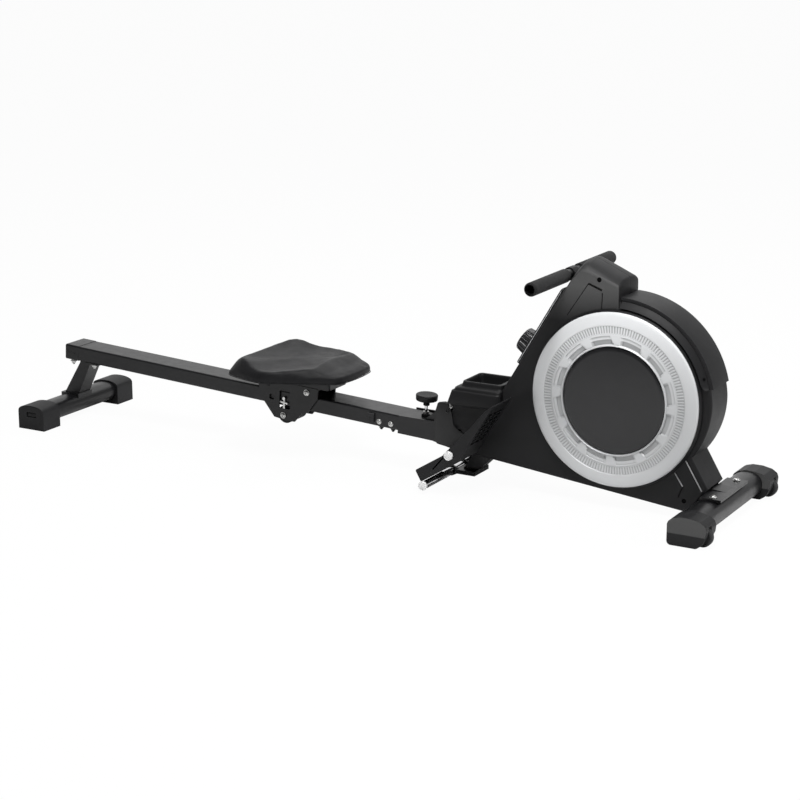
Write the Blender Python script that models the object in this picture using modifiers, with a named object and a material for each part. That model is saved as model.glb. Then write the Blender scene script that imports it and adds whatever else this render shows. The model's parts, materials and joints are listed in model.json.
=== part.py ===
"""Magnetic rowing machine, built as an assembly of separate pieces.

The rower faces +X, where the flywheel stands; +Y is the rower's left and +Z is up.
Stations along X are measured from the centre of the rear stabilizer. The empty named
frame then moves everything, so that the origin lies on the floor below the
middle of the machine. All sizes are in metres and all angles in degrees.
"""

from math import atan, atan2, cos, hypot, pi, radians, sin, sqrt, tan

import bmesh
import bpy
from mathutils import Matrix, Vector

# Clearances
GAP = 0.0003          # between pieces that touch
EASE = 0.0005         # round a turning or sliding piece
TUBE_WALL = 0.0018
WELD = 0.0005         # how far welded pieces run into each other

# Rail, which slopes down towards the front
RAIL_WIDTH = 0.0795
RAIL_HEIGHT = 0.0400
RAIL_TOP = 0.2059     # height of its top above the rear stabilizer
RAIL_SLOPE = 0.0582
RAIL_REAR = 0.003
RAIL_FRONT = 1.155
RAIL_CORNER = 0.004
RAIL_CAP_LENGTH = 0.045
RAIL_CAP_WALL = 0.0014
STOP_BLOCK = (0.020, 0.006, 0.024)

# Rear support
REAR_SPAN = 0.400
REAR_TUBE = (0.070, 0.052)
REAR_CAP_LENGTH = 0.0713
REAR_CAP_WIDTH = 0.086
REAR_CAP_HEIGHT = 0.0666
REAR_CAP_SHOULDER = 0.046
LEG_WIDTH = 0.050
LEG_DEPTH = 0.030
LEG_FOOT_DEPTH = 0.044
LEG_TOP = (0.0525, 0.150)
LEG_FOOT = (0.0040, 0.050)
LEG_FLANGE = (0.050, 0.110)
FLANGE_THICKNESS = 0.004
LEG_HOLE = 0.100
LEG_TRIM = 0.012
FASTENER_HOLE = 0.0045

# Front support
FRONT_X = 1.895
FRONT_SPAN = 0.483
FRONT_TUBE = (0.074, 0.059)
FRONT_CAP_LENGTH = 0.062
CAP_END = 0.004
TUBE_HEIGHT = 0.0365  # centre of both stabilizer tubes above the floor
WHEEL_RADIUS = 0.024
WHEEL_WIDTH = 0.018
WHEEL_INSET = 0.0266
WHEEL_CENTRE = (1.935, FRONT_SPAN / 2 - WHEEL_INSET, 0.0245)
WHEEL_JOURNAL = 0.004
SADDLE = (1.876, 1.928)
SADDLE_SPAN = 0.180
SADDLE_THICKNESS = 0.006
SADDLE_BOLT = (1.904, 0.077)

# Main frame beam, along the bottom of the housing
BEAM_WIDTH = 0.050
BEAM_HEIGHT = 0.045
BEAM_REAR = 1.182
BEAM_FRONT = 1.846
BOTTOM_SLOPE = 0.107
BOTTOM_X = 1.3148
BOTTOM_Z = 0.0726
BEAM_LIFT = 0.0045    # beam above the housing's bottom line
SHEET = 0.0035

# Drum housing
DRUM = (1.6457, 0.2672)
DRUM_RADIUS = 0.238
HOUSING_HALF = 0.052
HEAD_HALF = 0.058
HEAD_EDGE = 0.003
HOUSING_WALL = 0.003
COLUMN_BEARING = -31.2      # where the rim meets the front column, round the drum's centre
RIM_BLEND = 5
RIM_DRAW = 0.0126           # how far the rim is drawn in at the column
GUARD_THICKNESS = 0.0062
GUARD_HALF = 0.057
GUARD_START = 14
GUARD_END = 88.5
SLOPE_FOOT = (1.367, 0.284)
SLOPE_ANGLE = 59.2
SLOT = (0.034, 0.014)

# The head's side view at its crest and at its sides, with the same number of points: station
# (none where it lies on the sloping face), height, distance behind the sloping face
HEAD_CREST = (
    (None, 0.470, 0.0006), (1.6050, 0.486, 0), (1.6475, 0.5045, 0), (1.6500, 0.5140, 0),
    (1.6508, 0.5460, 0), (1.6480, 0.5520, 0), (1.6066, 0.5711, 0), (1.5650, 0.5890, 0),
    (1.5590, 0.5895, 0), (1.5510, 0.5860, 0), (None, 0.5780, 0.0006))
HEAD_SIDE = (
    (None, 0.470, 0.0006), (1.6050, 0.486, 0), (1.6475, 0.5045, 0), (1.6475, 0.5120, 0),
    (1.6472, 0.5330, 0), (1.6445, 0.5370, 0), (1.6080, 0.5502, 0), (1.5700, 0.5638, 0),
    (1.5600, 0.5672, 0), (1.5500, 0.5665, 0), (None, 0.5420, 0.0050))

# Trim on both sides of the drum
RING_RADIUS = 0.216
RING_FACE = 0.0725
RING_STEP = 0.173
RING_INNER = 0.130
DISC_RADIUS = 0.1285
DISC_CROWN = 0.0745
TRIM_WALL = 0.003

# Storage tray
TRAY_X = (1.2085, 1.3455)
TRAY_HALF = 0.066
TRAY_Z = (0.2005, 0.2465)
TRAY_RIM = 0.260
RIM_HALF = 0.0475
POCKET_X = (1.240, 1.336)
POCKET_HALF = 0.041
POCKET_FLOOR = 0.2100

# Console, knob and handle on the sloping face
CONSOLE = (0.036, 0.262)
CONSOLE_HALF = 0.040
CONSOLE_THICKNESS = 0.010
SCREEN = (0.160, 0.226)
SCREEN_HALF = 0.028
BUTTON = (0.143, 0.0075)
BUTTON_TRAVEL = 0.002
KNOB_AT = 0.083
KNOB_RADIUS = 0.033
KNOB_DEPTH = 0.0275
KNOB_RIBS = 18
KNOB_RIB_DEPTH = 0.0016
KNOB_SHAFT_REACH = 0.014    # below the sloping face
HANDLE = (1.501, 0.5456)
HANDLE_SPAN = 0.457
GRIP_RADIUS = 0.0165
GRIP_LENGTH = 0.190
BAR_RADIUS = 0.0125
BAR_BORE = 0.0105
CLIP_WIDTH = 0.030

# Pull strap and its way round the guide roller to the reel
STRAP_WIDTH = 0.025
STRAP_THICKNESS = 0.0016
GUIDE = (1.563, 0.5320)
GUIDE_RADIUS = 0.0125
REEL = (1.440, 0.235)
REEL_RADIUS = 0.028
REEL_FLANGE = 0.036

# Flywheel, pulleys and brake
FLYWHEEL_RADIUS = 0.145
FLYWHEEL_HALF = 0.012
AXLE_RADIUS = 0.006
AXLE_END = 0.0475
PULLEY_Y = (0.0345, 0.0460)
SMALL_PULLEY = 0.018
LARGE_PULLEY = 0.055
BELT_THICKNESS = 0.002
MAGNET_RADII = (0.149, 0.1545)
SHOE_RADIUS = 0.1585
SHOE_ARC = (62, 112)
SHOE_HALF = 0.015
MAGNET_ARC = (65, 104)
SHOE_PIVOT_ANGLE = 117
SHOE_EYE = 0.0055
UPRIGHT_THICKNESS = 0.003

# Pedals and the rods that carry them
PIVOT_ROD = (1.2702, 0.1075)
STOP_ROD = (1.2004, 0.0215)
ROD_RADIUS = 0.010
ROD_SPAN = 0.362
PLUG_RADIUS = 0.011
PLUG_LENGTH = 0.006
PEDAL_Y = (0.0760, 0.1790)

# Small foot under the frame
FOOT_X = (1.215, 1.267)
FOOT_HALF = 0.0385
FOOT_Z = (0.0165, 0.0275)
POST_HALF = 0.020
TAB_Y = 0.0300

# Hinge between the frame and the rail
FOLD_PIVOT = (1.181, 0.172)
PIVOT_RADIUS = 0.006
CRADLE_HALF = 0.0465
CRADLE_REAR = 1.057
RAIL_STOP = CRADLE_REAR - 0.082
CRADLE_FRONT = 1.246
LUG_HALF = 0.0385
LUG_RADIUS = 0.013

# Pull knob on the rail
PULL_X = 1.110
PULL_RADIUS = 0.028
PULL_HEAD = (0.041, 0.0575)  # above the rail's top
PULL_NECK = 0.008
PULL_NECK_LENGTH = 0.013
PIN_RADIUS = 0.0040

# Seat and its carriage, in rail coordinates: along the rail and above its top
SEAT_S = 0.7265
SKIRT_HALF = 0.045
UPPER_ROLLER = 0.0098
LOWER_ROLLER = 0.0240
UPPER_AXLE = 0.0585
LOWER_AXLE = -0.0095
ROLLER_WIDTH = 0.070
SPINDLE = 0.004
HEAD_RADIUS = 0.0075
HEAD_HEIGHT = 0.004
PAN_X = (0.630, 0.851)
PAN_WALL = 0.003
PAD_LOW = 0.2128      # level underside of the pad
PAD_RIM = 0.2185
PAD_DISH = 0.2440     # height of the dish's middle

# Half of the pad's widest outline, from the rear to the front: station and distance from the middle
PAD_OUTLINE = (
    (0.5880, 0.000), (0.5885, 0.050), (0.5910, 0.100), (0.6000, 0.129), (0.6380, 0.149), (0.6950, 0.1655),
    (0.7300, 0.1660), (0.7950, 0.1420), (0.8600, 0.1090), (0.8960, 0.088), (0.9090, 0.062), (0.9140, 0.000))

# The ridge round its top, with the same number of points: station, distance from the middle, height
PAD_RIDGE = (
    (0.6120, 0.000, 0.2555), (0.6130, 0.050, 0.2560), (0.6170, 0.088, 0.2575), (0.6320, 0.117, 0.2605),
    (0.6560, 0.136, 0.2590), (0.7000, 0.156, 0.2440), (0.7400, 0.1575, 0.2420), (0.7850, 0.1360, 0.2455),
    (0.8230, 0.1120, 0.2490), (0.8420, 0.096, 0.2500), (0.8430, 0.050, 0.2545), (0.8400, 0.000, 0.2560))

# Piece finishes: colour, roughness, metallic
FINISHES = {
    "black_steel": ((0.022, 0.022, 0.024), 0.42, 0.2),
    "black_plastic": ((0.026, 0.026, 0.028), 0.55, 0.0),
    "gloss_black": ((0.012, 0.012, 0.013), 0.12, 0.0),
    "silver": ((0.72, 0.73, 0.74), 0.32, 0.7),
    "chrome": ((0.80, 0.80, 0.81), 0.12, 1.0),
    "zinc": ((0.62, 0.62, 0.61), 0.35, 1.0),
    "raw_iron": ((0.20, 0.20, 0.21), 0.50, 0.9),
    "white_plastic": ((0.80, 0.80, 0.80), 0.40, 0.0),
    "rubber": ((0.020, 0.020, 0.021), 0.80, 0.0),
    "foam": ((0.030, 0.030, 0.031), 0.90, 0.0),
    "vinyl": ((0.024, 0.024, 0.026), 0.50, 0.0),
    "webbing": ((0.018, 0.018, 0.020), 0.85, 0.0),
    "screen": ((0.10, 0.12, 0.11), 0.15, 0.0),
    "red_plastic": ((0.45, 0.03, 0.03), 0.40, 0.0),
}

RAIL_TILT = atan(RAIL_SLOPE)
REAR_END = -REAR_CAP_WIDTH / 2
FRONT_END = WHEEL_CENTRE[0] + WHEEL_RADIUS
MIDDLE_X = (REAR_END + FRONT_END) / 2
DECK = 2 * UPPER_ROLLER + EASE + GAP + SHEET          # top of the carriage's deck
SIDES = (("right", -1), ("left", 1))

# Rollers: along the rail from the seat's middle, above its top, radius
ROLLERS = {
    "front_roller": (UPPER_AXLE, UPPER_ROLLER, UPPER_ROLLER),
    "rear_roller": (-UPPER_AXLE, UPPER_ROLLER, UPPER_ROLLER),
    "lower_roller": (LOWER_AXLE, -RAIL_HEIGHT - LOWER_ROLLER, LOWER_ROLLER),
}


# Scene and collections

for old in list(bpy.data.objects):
    bpy.data.objects.remove(old)


def new_collection(name):
    made = bpy.data.collections.new(name)
    bpy.context.scene.collection.children.link(made)
    return made


PARTS = new_collection("rowing_machine_parts")
CUTTERS = new_collection("cutters")
BODIES = {}


def new_body(name, x=0.0, y=0.0, z=0.0):
    """An empty on the joint axis of a group of pieces that move together."""
    empty = bpy.data.objects.new(name, None)
    empty.empty_display_size = 0.05
    PARTS.objects.link(empty)
    if name == "frame":
        empty.location = (-MIDDLE_X, 0, 0)
    else:
        empty.parent = BODIES["frame"][0]
        empty.location = (x, y, z)
    BODIES[name] = (empty, Vector((x, y, z)))


def seat_on(piece, body, at=(0, 0, 0), turn=(0, 0, 0)):
    empty, pivot = BODIES[body]
    piece.parent = empty
    piece.location = Vector(at) - pivot
    piece.rotation_euler = turn


def painted(name, finish):
    colour, roughness, metallic = FINISHES[finish]
    material = bpy.data.materials.new(name)
    material.diffuse_color = (*colour, 1.0)
    material.use_nodes = True
    shader = material.node_tree.nodes["Principled BSDF"]
    shader.inputs["Base Color"].default_value = (*colour, 1.0)
    shader.inputs["Roughness"].default_value = roughness
    shader.inputs["Metallic"].default_value = metallic
    return material


def add(name, mesh, finish, body="frame", at=(0, 0, 0), turn=(0, 0, 0)):
    """One named sub-part of the machine, placed at a station point."""
    piece = bpy.data.objects.new(name, mesh)
    PARTS.objects.link(piece)
    mesh.materials.append(painted(name, finish))
    mesh.shade_smooth()
    mesh.set_sharp_from_angle(angle=radians(35))
    seat_on(piece, body, at, turn)
    return piece


def tool(name, mesh, body="frame", at=(0, 0, 0), turn=(0, 0, 0)):
    """A shape that only cuts or extends other pieces."""
    guide = bpy.data.objects.new(name, mesh)
    CUTTERS.objects.link(guide)
    guide.hide_render = True
    guide.display_type = "WIRE"
    seat_on(guide, body, at, turn)
    return guide


def shaped(piece, operation, *tools):
    for guide in tools:
        step = piece.modifiers.new(f"{operation.lower()} {guide.name}", "BOOLEAN")
        step.operation = operation
        step.object = guide
        step.solver = "EXACT"
    return piece


def cut(piece, *tools):
    return shaped(piece, "DIFFERENCE", *tools)


def join(piece, *tools):
    return shaped(piece, "UNION", *tools)


def soften(piece, width, segments=2, angle=35):
    step = piece.modifiers.new("soft edges", "BEVEL")
    step.width = width
    step.segments = segments
    step.limit_method = "ANGLE"
    step.angle_limit = radians(angle)
    return piece


# Outlines

def arc(centre, radius, start, end, steps):
    """Points on a circle from one angle to another, both ends included."""
    found = []
    for step in range(steps + 1):
        angle = radians(start + (end - start) * step / steps)
        found.append((centre[0] + radius * cos(angle), centre[1] + radius * sin(angle)))
    return found


def circle(radius, steps=20):
    return arc((0, 0), radius, 0, 360 * (steps - 1) / steps, steps - 1)


def oval(centre, width, height, steps=24):
    """An oval tube's section: flatter than an ellipse, with full shoulders."""
    found = []
    for step in range(steps):
        angle = 2 * pi * step / steps
        across = abs(cos(angle)) ** 0.85
        up = abs(sin(angle)) ** 0.85
        found.append((centre[0] + width / 2 * across * (1 if cos(angle) >= 0 else -1),
                      centre[1] + height / 2 * up * (1 if sin(angle) >= 0 else -1)))
    return found


def rectangle(left, right, low, high):
    return [(left, low), (right, low), (right, high), (left, high)]


def rounded(corners, radius, steps=3):
    """The outline with an arc in place of each corner."""
    found = []
    count = len(corners)
    for index in range(count):
        corner = Vector(corners[index])
        back = Vector(corners[index - 1]) - corner
        ahead = Vector(corners[(index + 1) % count]) - corner
        opening = back.angle(ahead)
        run = min(radius / tan(opening / 2), 0.45 * back.length, 0.45 * ahead.length)
        reach = run * tan(opening / 2)
        centre = corner + (back.normalized() + ahead.normalized()).normalized() * hypot(run, reach)
        first = corner + back.normalized() * run - centre
        last = corner + ahead.normalized() * run - centre
        start = atan2(first.y, first.x)
        sweep = (atan2(last.y, last.x) - start + pi) % (2 * pi) - pi
        for step in range(steps + 1):
            angle = start + sweep * step / steps
            found.append((centre.x + reach * cos(angle), centre.y + reach * sin(angle)))
    return found


def inset(corners, distance):
    """The outline moved inwards by a wall's thickness; it runs anticlockwise."""
    found = []
    count = len(corners)
    for index in range(count):
        here = Vector(corners[index])
        before = (here - Vector(corners[index - 1])).normalized()
        after = (Vector(corners[(index + 1) % count]) - here).normalized()
        inwards = Vector((-before.y - after.y, before.x + after.x)).normalized()
        share = max(inwards.dot(Vector((-before.y, before.x))), 0.2)
        moved = here + inwards * distance / share
        found.append((moved.x, moved.y))
    return found


def oblong(first, second, radius, steps=6):
    """A straight slot or link with round ends."""
    heading = atan2(second[1] - first[1], second[0] - first[0]) * 180 / pi
    return (arc(second, radius, heading - 90, heading + 90, steps)
            + arc(first, radius, heading + 90, heading + 270, steps))


# Mesh shapes

FACING = {
    "Z": Matrix.Identity(4),
    "Y": Matrix.Rotation(pi / 2, 4, "X"),
    "X": Matrix.Rotation(pi / 2, 4, "Z") @ Matrix.Rotation(pi / 2, 4, "X"),
}


def tidy_mesh(mesh):
    shape = bmesh.new()
    shape.from_mesh(mesh)
    bmesh.ops.remove_doubles(shape, verts=shape.verts, dist=0.000002)
    bmesh.ops.recalc_face_normals(shape, faces=shape.faces)
    shape.to_mesh(mesh)
    shape.free()
    return mesh


def plate(outline, thickness, holes=(), axis="Y"):
    """A flat outline with its holes, given a thickness across the named axis."""
    drawing = bpy.data.curves.new("outline", "CURVE")
    drawing.dimensions = "2D"
    drawing.fill_mode = "BOTH"
    drawing.extrude = thickness / 2
    for loop in (outline, *holes):
        spline = drawing.splines.new("POLY")
        spline.points.add(len(loop) - 1)
        spline.use_cyclic_u = True
        for point, (u, v) in zip(spline.points, loop):
            point.co = (u, v, 0, 1)
    drawn = bpy.data.objects.new("outline", drawing)
    CUTTERS.objects.link(drawn)
    ready = bpy.context.evaluated_depsgraph_get()
    mesh = bpy.data.meshes.new_from_object(drawn.evaluated_get(ready))
    bpy.data.objects.remove(drawn)
    mesh.transform(FACING[axis])
    return tidy_mesh(mesh)


def skin(rows):
    """A closed skin over rings of points that all have the same count."""
    shape = bmesh.new()
    rings = [[shape.verts.new(point) for point in row] for row in rows]
    for lower, upper in zip(rings, rings[1:]):
        for step in range(len(lower)):
            after = (step + 1) % len(lower)
            shape.faces.new((lower[step], lower[after], upper[after], upper[step]))
    shape.faces.new(rings[-1])
    shape.faces.new(list(reversed(rings[0])))
    bmesh.ops.recalc_face_normals(shape, faces=shape.faces)
    mesh = bpy.data.meshes.new("skin")
    shape.to_mesh(mesh)
    shape.free()
    return mesh


def block(length, width, height):
    shape = bmesh.new()
    bmesh.ops.create_cube(shape, size=1)
    bmesh.ops.scale(shape, vec=(length, width, height), verts=shape.verts)
    mesh = bpy.data.meshes.new("block")
    shape.to_mesh(mesh)
    shape.free()
    return mesh


def round_bar(radius, length, axis="Y", segments=16):
    shape = bmesh.new()
    bmesh.ops.create_cone(shape, cap_ends=True, segments=segments,
                          radius1=radius, radius2=radius, depth=length)
    mesh = bpy.data.meshes.new("round_bar")
    shape.to_mesh(mesh)
    shape.free()
    mesh.transform(FACING[axis])
    return mesh


def profile_mesh(points, closed=False):
    """A line of (radius, height) points in the XZ plane, ready to be turned."""
    shape = bmesh.new()
    corners = []
    for radius, height in points:
        corners.append(shape.verts.new((radius, 0, height)))
    for start, end in zip(corners, corners[1:]):
        shape.edges.new((start, end))
    if closed:
        shape.edges.new((corners[-1], corners[0]))
    mesh = bpy.data.meshes.new("profile")
    shape.to_mesh(mesh)
    shape.free()
    return mesh


def turned(name, points, finish, body="frame", at=(0, 0, 0), turn=(0, 0, 0), steps=24, closed=False):
    """A turned piece: the profile runs down its outer side, round local Z."""
    piece = add(name, profile_mesh(points, closed), finish, body, at, turn)
    lathe = piece.modifiers.new("turned", "SCREW")
    lathe.axis = "Z"
    lathe.steps = steps
    lathe.render_steps = steps
    lathe.use_merge_vertices = True
    lathe.merge_threshold = 0.00001
    lathe.use_smooth_shade = True
    return piece


# Places

def rail_point(s, h, y=0.0):
    """A point above the rail's top, s along it from the rear stabilizer."""
    return Vector((s * cos(RAIL_TILT) + h * sin(RAIL_TILT), y,
                   RAIL_TOP - s * sin(RAIL_TILT) + h * cos(RAIL_TILT)))


def slope_point(t, out, y=0.0):
    """A point off the housing's sloping face, t up along it from its foot."""
    up = (cos(radians(SLOPE_ANGLE)), sin(radians(SLOPE_ANGLE)))
    return Vector((SLOPE_FOOT[0] + t * up[0] - out * up[1], y,
                   SLOPE_FOOT[1] + t * up[1] + out * up[0]))


def slope_x(z):
    return SLOPE_FOOT[0] + (z - SLOPE_FOOT[1]) / tan(radians(SLOPE_ANGLE))


def bottom_z(x, lift=0.0):
    """Height of the housing's bottom line."""
    return BOTTOM_Z - BOTTOM_SLOPE * (x - BOTTOM_X) + lift


def beam_outline(start, end, low, high):
    return [(start, bottom_z(start, low)), (end, bottom_z(end, low)),
            (end, bottom_z(end, high)), (start, bottom_z(start, high))]


RAIL_TURN = (0, RAIL_TILT, 0)
SLOPE_TURN = (0, -radians(SLOPE_ANGLE), 0)     # local X climbs the sloping face
NEAR_TURN = (pi / 2, 0, 0)                     # local Z points to the right side
FAR_TURN = (-pi / 2, 0, 0)                     # local Z points to the left side


def side_turn(side):
    return NEAR_TURN if side < 0 else FAR_TURN


# Rail and rear support

def make_rail():
    section = rounded(rectangle(-RAIL_WIDTH / 2, RAIL_WIDTH / 2, -RAIL_HEIGHT, 0), RAIL_CORNER)
    length = RAIL_FRONT - RAIL_REAR
    middle = rail_point((RAIL_FRONT + RAIL_REAR) / 2, 0)
    rail = add("rail", plate(section, length, [inset(section, TUBE_WALL)], "X"), "black_steel",
               "rail_body", middle, RAIL_TURN)
    bore = tool("pin_bore", round_bar(PIN_RADIUS + EASE, 2 * RAIL_HEIGHT, "Z"), "rail_body",
                rail_point(PULL_X, -RAIL_HEIGHT / 2), RAIL_TURN)
    cut(rail, bore)
    lug = lug_outline()
    for name, side in SIDES:
        place = (0, side * (LUG_HALF - SHEET / 2), 0)
        join(rail, tool(f"lug_{name}", plate(lug, SHEET), "rail_body", place))
    eye = tool("lug_eye", round_bar(PIVOT_RADIUS + EASE, 2 * CRADLE_HALF), "rail_body",
               (FOLD_PIVOT[0], 0, FOLD_PIVOT[1]))
    cut(rail, eye)
    return rail


def lug_outline():
    """The hinge lug on the rail's front end, from its top up to the pivot."""
    rear = rail_point(1.122, -0.001)
    front = rail_point(1.153, -0.001)
    around = arc(FOLD_PIVOT, LUG_RADIUS, -40, 140, 8)
    return [(rear.x, rear.z), (front.x, front.z), *around]


def make_rail_end_cap():
    height = RAIL_HEIGHT + RAIL_CAP_WALL
    width = RAIL_WIDTH + 2 * RAIL_CAP_WALL
    middle = rail_point(RAIL_CAP_LENGTH / 2, RAIL_CAP_WALL - height / 2)
    cap = add("rail_end_cap", block(RAIL_CAP_LENGTH, width, height), "black_plastic",
              "rail_body", middle, RAIL_TURN)
    socket = block(RAIL_CAP_LENGTH, RAIL_WIDTH + 2 * GAP, RAIL_HEIGHT + 0.010)
    cut(cap, tool("cap_socket", socket, "rail_body",
                  rail_point(RAIL_REAR - GAP + RAIL_CAP_LENGTH / 2, GAP - (RAIL_HEIGHT + 0.010) / 2),
                  RAIL_TURN))
    soften(cap, 0.0004, 1)


def leg_outline():
    """The rear leg's side view, wider at its foot and long enough to be trimmed at both ends."""
    top, foot = Vector(LEG_TOP), Vector(LEG_FOOT)
    run = (top - foot).normalized()
    across = Vector((run.y, -run.x))
    spare = run * LEG_TRIM
    front = across * LEG_DEPTH / 2
    return [foot - spare - across * (LEG_FOOT_DEPTH - LEG_DEPTH / 2), foot - spare + front,
            top + spare + front, top + spare - front]


def make_rear_leg():
    leg = add("rear_leg", plate(leg_outline(), LEG_WIDTH), "black_steel", "rail_body")
    flange_middle = sum(LEG_FLANGE) / 2
    below = -RAIL_HEIGHT - GAP
    flange = tool("leg_flange", block(LEG_FLANGE[1] - LEG_FLANGE[0], RAIL_WIDTH - 0.004, FLANGE_THICKNESS),
                  "rail_body", rail_point(flange_middle, below - FLANGE_THICKNESS / 2), RAIL_TURN)
    above = tool("leg_trim", block(0.2, 0.2, 0.06), "rail_body",
                 rail_point(flange_middle, below + 0.03), RAIL_TURN)
    collar = tool("leg_collar", plate(rectangle(-0.029, 0.030, 0.045, 0.0655), LEG_WIDTH + 0.010),
                  "rail_body")
    saddle = oval((0, TUBE_HEIGHT), REAR_TUBE[0] + 2 * GAP, REAR_TUBE[1] + 2 * GAP)
    seat = tool("leg_seat", plate(saddle, 2 * LEG_WIDTH), "rail_body")
    join(leg, flange, collar)
    cut(leg, above, seat)
    hole = round_bar(FASTENER_HOLE, 0.02, "Z")
    cut(leg, tool("flange_hole", hole, "rail_body", rail_point(LEG_HOLE, below), RAIL_TURN))


def stabilizer_tube(name, size, x, span, finish, body):
    outer = oval((x, TUBE_HEIGHT), *size)
    length = span - 2 * CAP_END - 2 * GAP
    return add(name, plate(outer, length, [inset(outer, TUBE_WALL)]), finish, body)


def rear_cap_outline():
    half = REAR_CAP_WIDTH / 2
    rise = REAR_CAP_HEIGHT - REAR_CAP_SHOULDER
    found = [(-half, 0), (half, 0)]
    for step in range(11):
        angle = pi * step / 10
        found.append((half * cos(angle), REAR_CAP_SHOULDER + rise * sin(angle) ** 0.8))
    return found


def front_cap_outline():
    x = FRONT_X
    return [(x - 0.038, 0), (x + 0.033, 0), (x + 0.047, 0.010), (x + 0.056, 0.030), (x + 0.0575, 0.045),
            (x + 0.054, 0.055), (x + 0.041, 0.0635), (x + 0.017, 0.0685), (x - 0.008, 0.0685),
            (x - 0.026, 0.0635), (x - 0.035, 0.0565), (x - 0.038, 0.050)]


def make_cap(name, outline, length, size, x, side, span, body):
    """A moulded cap over one end of a stabilizer tube."""
    place = (0, side * (span - length) / 2, 0)
    cap = add(name, plate(outline, length), "black_plastic", body, place)
    socket = oval((x, TUBE_HEIGHT), size[0] + 2 * GAP, size[1] + 2 * GAP)
    depth = length - CAP_END + 0.010
    middle = side * (span / 2 - CAP_END - depth / 2)
    cut(cap, tool(f"{name}_socket", plate(socket, depth), body, (0, middle, 0)))
    return cap


def make_rear_support():
    stabilizer_tube("rear_stabilizer_tube", REAR_TUBE, 0.0, REAR_SPAN, "black_steel", "rail_body")
    for name, side in SIDES:
        cap = make_cap(f"rear_cap_{name}", rear_cap_outline(), REAR_CAP_LENGTH, REAR_TUBE, 0.0,
                       side, REAR_SPAN, "rail_body")
        recess = rounded(rectangle(-0.012, 0.032, 0.0345, 0.0480), 0.004)
        cut(cap, tool(f"rear_recess_{name}", plate(recess, 0.005), "rail_body",
                      (0, side * REAR_SPAN / 2, 0)))


def make_front_support():
    tube = stabilizer_tube("front_stabilizer_tube", FRONT_TUBE, FRONT_X, FRONT_SPAN, "black_steel", "frame")
    for name, side in SIDES:
        centre = (WHEEL_CENTRE[0], side * WHEEL_CENTRE[1], WHEEL_CENTRE[2])
        cap = make_cap(f"front_cap_{name}", front_cap_outline(), FRONT_CAP_LENGTH, FRONT_TUBE, FRONT_X,
                       side, FRONT_SPAN, "frame")
        well_width = WHEEL_WIDTH + 2 * EASE
        well = arc((WHEEL_CENTRE[0], WHEEL_CENTRE[2]), WHEEL_RADIUS + 0.0015, 90, 270, 12)
        well += [(WHEEL_CENTRE[0] + 0.04, -0.01), (WHEEL_CENTRE[0] + 0.04, well[0][1])]
        cutter = tool(f"wheel_well_{name}", plate(well, well_width), "frame", (0, centre[1], 0))
        bore = tool(f"wheel_bore_{name}", round_bar(WHEEL_JOURNAL + GAP, WHEEL_WIDTH + 0.014, segments=16),
                    "frame", centre)
        cut(cap, cutter, bore)
        cut(tube, cutter)
        make_wheel(name, centre)


def make_wheel(name, centre):
    """A transport wheel with its journals moulded on."""
    half = WHEEL_WIDTH / 2
    journal = half + 0.0062
    profile = [(0, journal), (WHEEL_JOURNAL, journal), (WHEEL_JOURNAL, half), (WHEEL_RADIUS - 0.003, half),
               (WHEEL_RADIUS, half - 0.003), (WHEEL_RADIUS, -half + 0.003), (WHEEL_RADIUS - 0.003, -half),
               (WHEEL_JOURNAL, -half), (WHEEL_JOURNAL, -journal), (0, -journal)]
    turned(f"transport_wheel_{name}", profile, "rubber", f"wheel_body_{name}", centre, NEAR_TURN, 20)


# Main frame

def upright_outline():
    """One side plate, from the beam up to the flywheel axle and the head."""
    return [(1.392, bottom_z(1.392, 0.012)), (1.700, bottom_z(1.700, 0.012)), (1.672, 0.290),
            (1.650, 0.302), (1.606, 0.318), (1.592, 0.385), (1.596, 0.428), (1.590, 0.540),
            (1.552, 0.548), (1.405, 0.262)]


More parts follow.
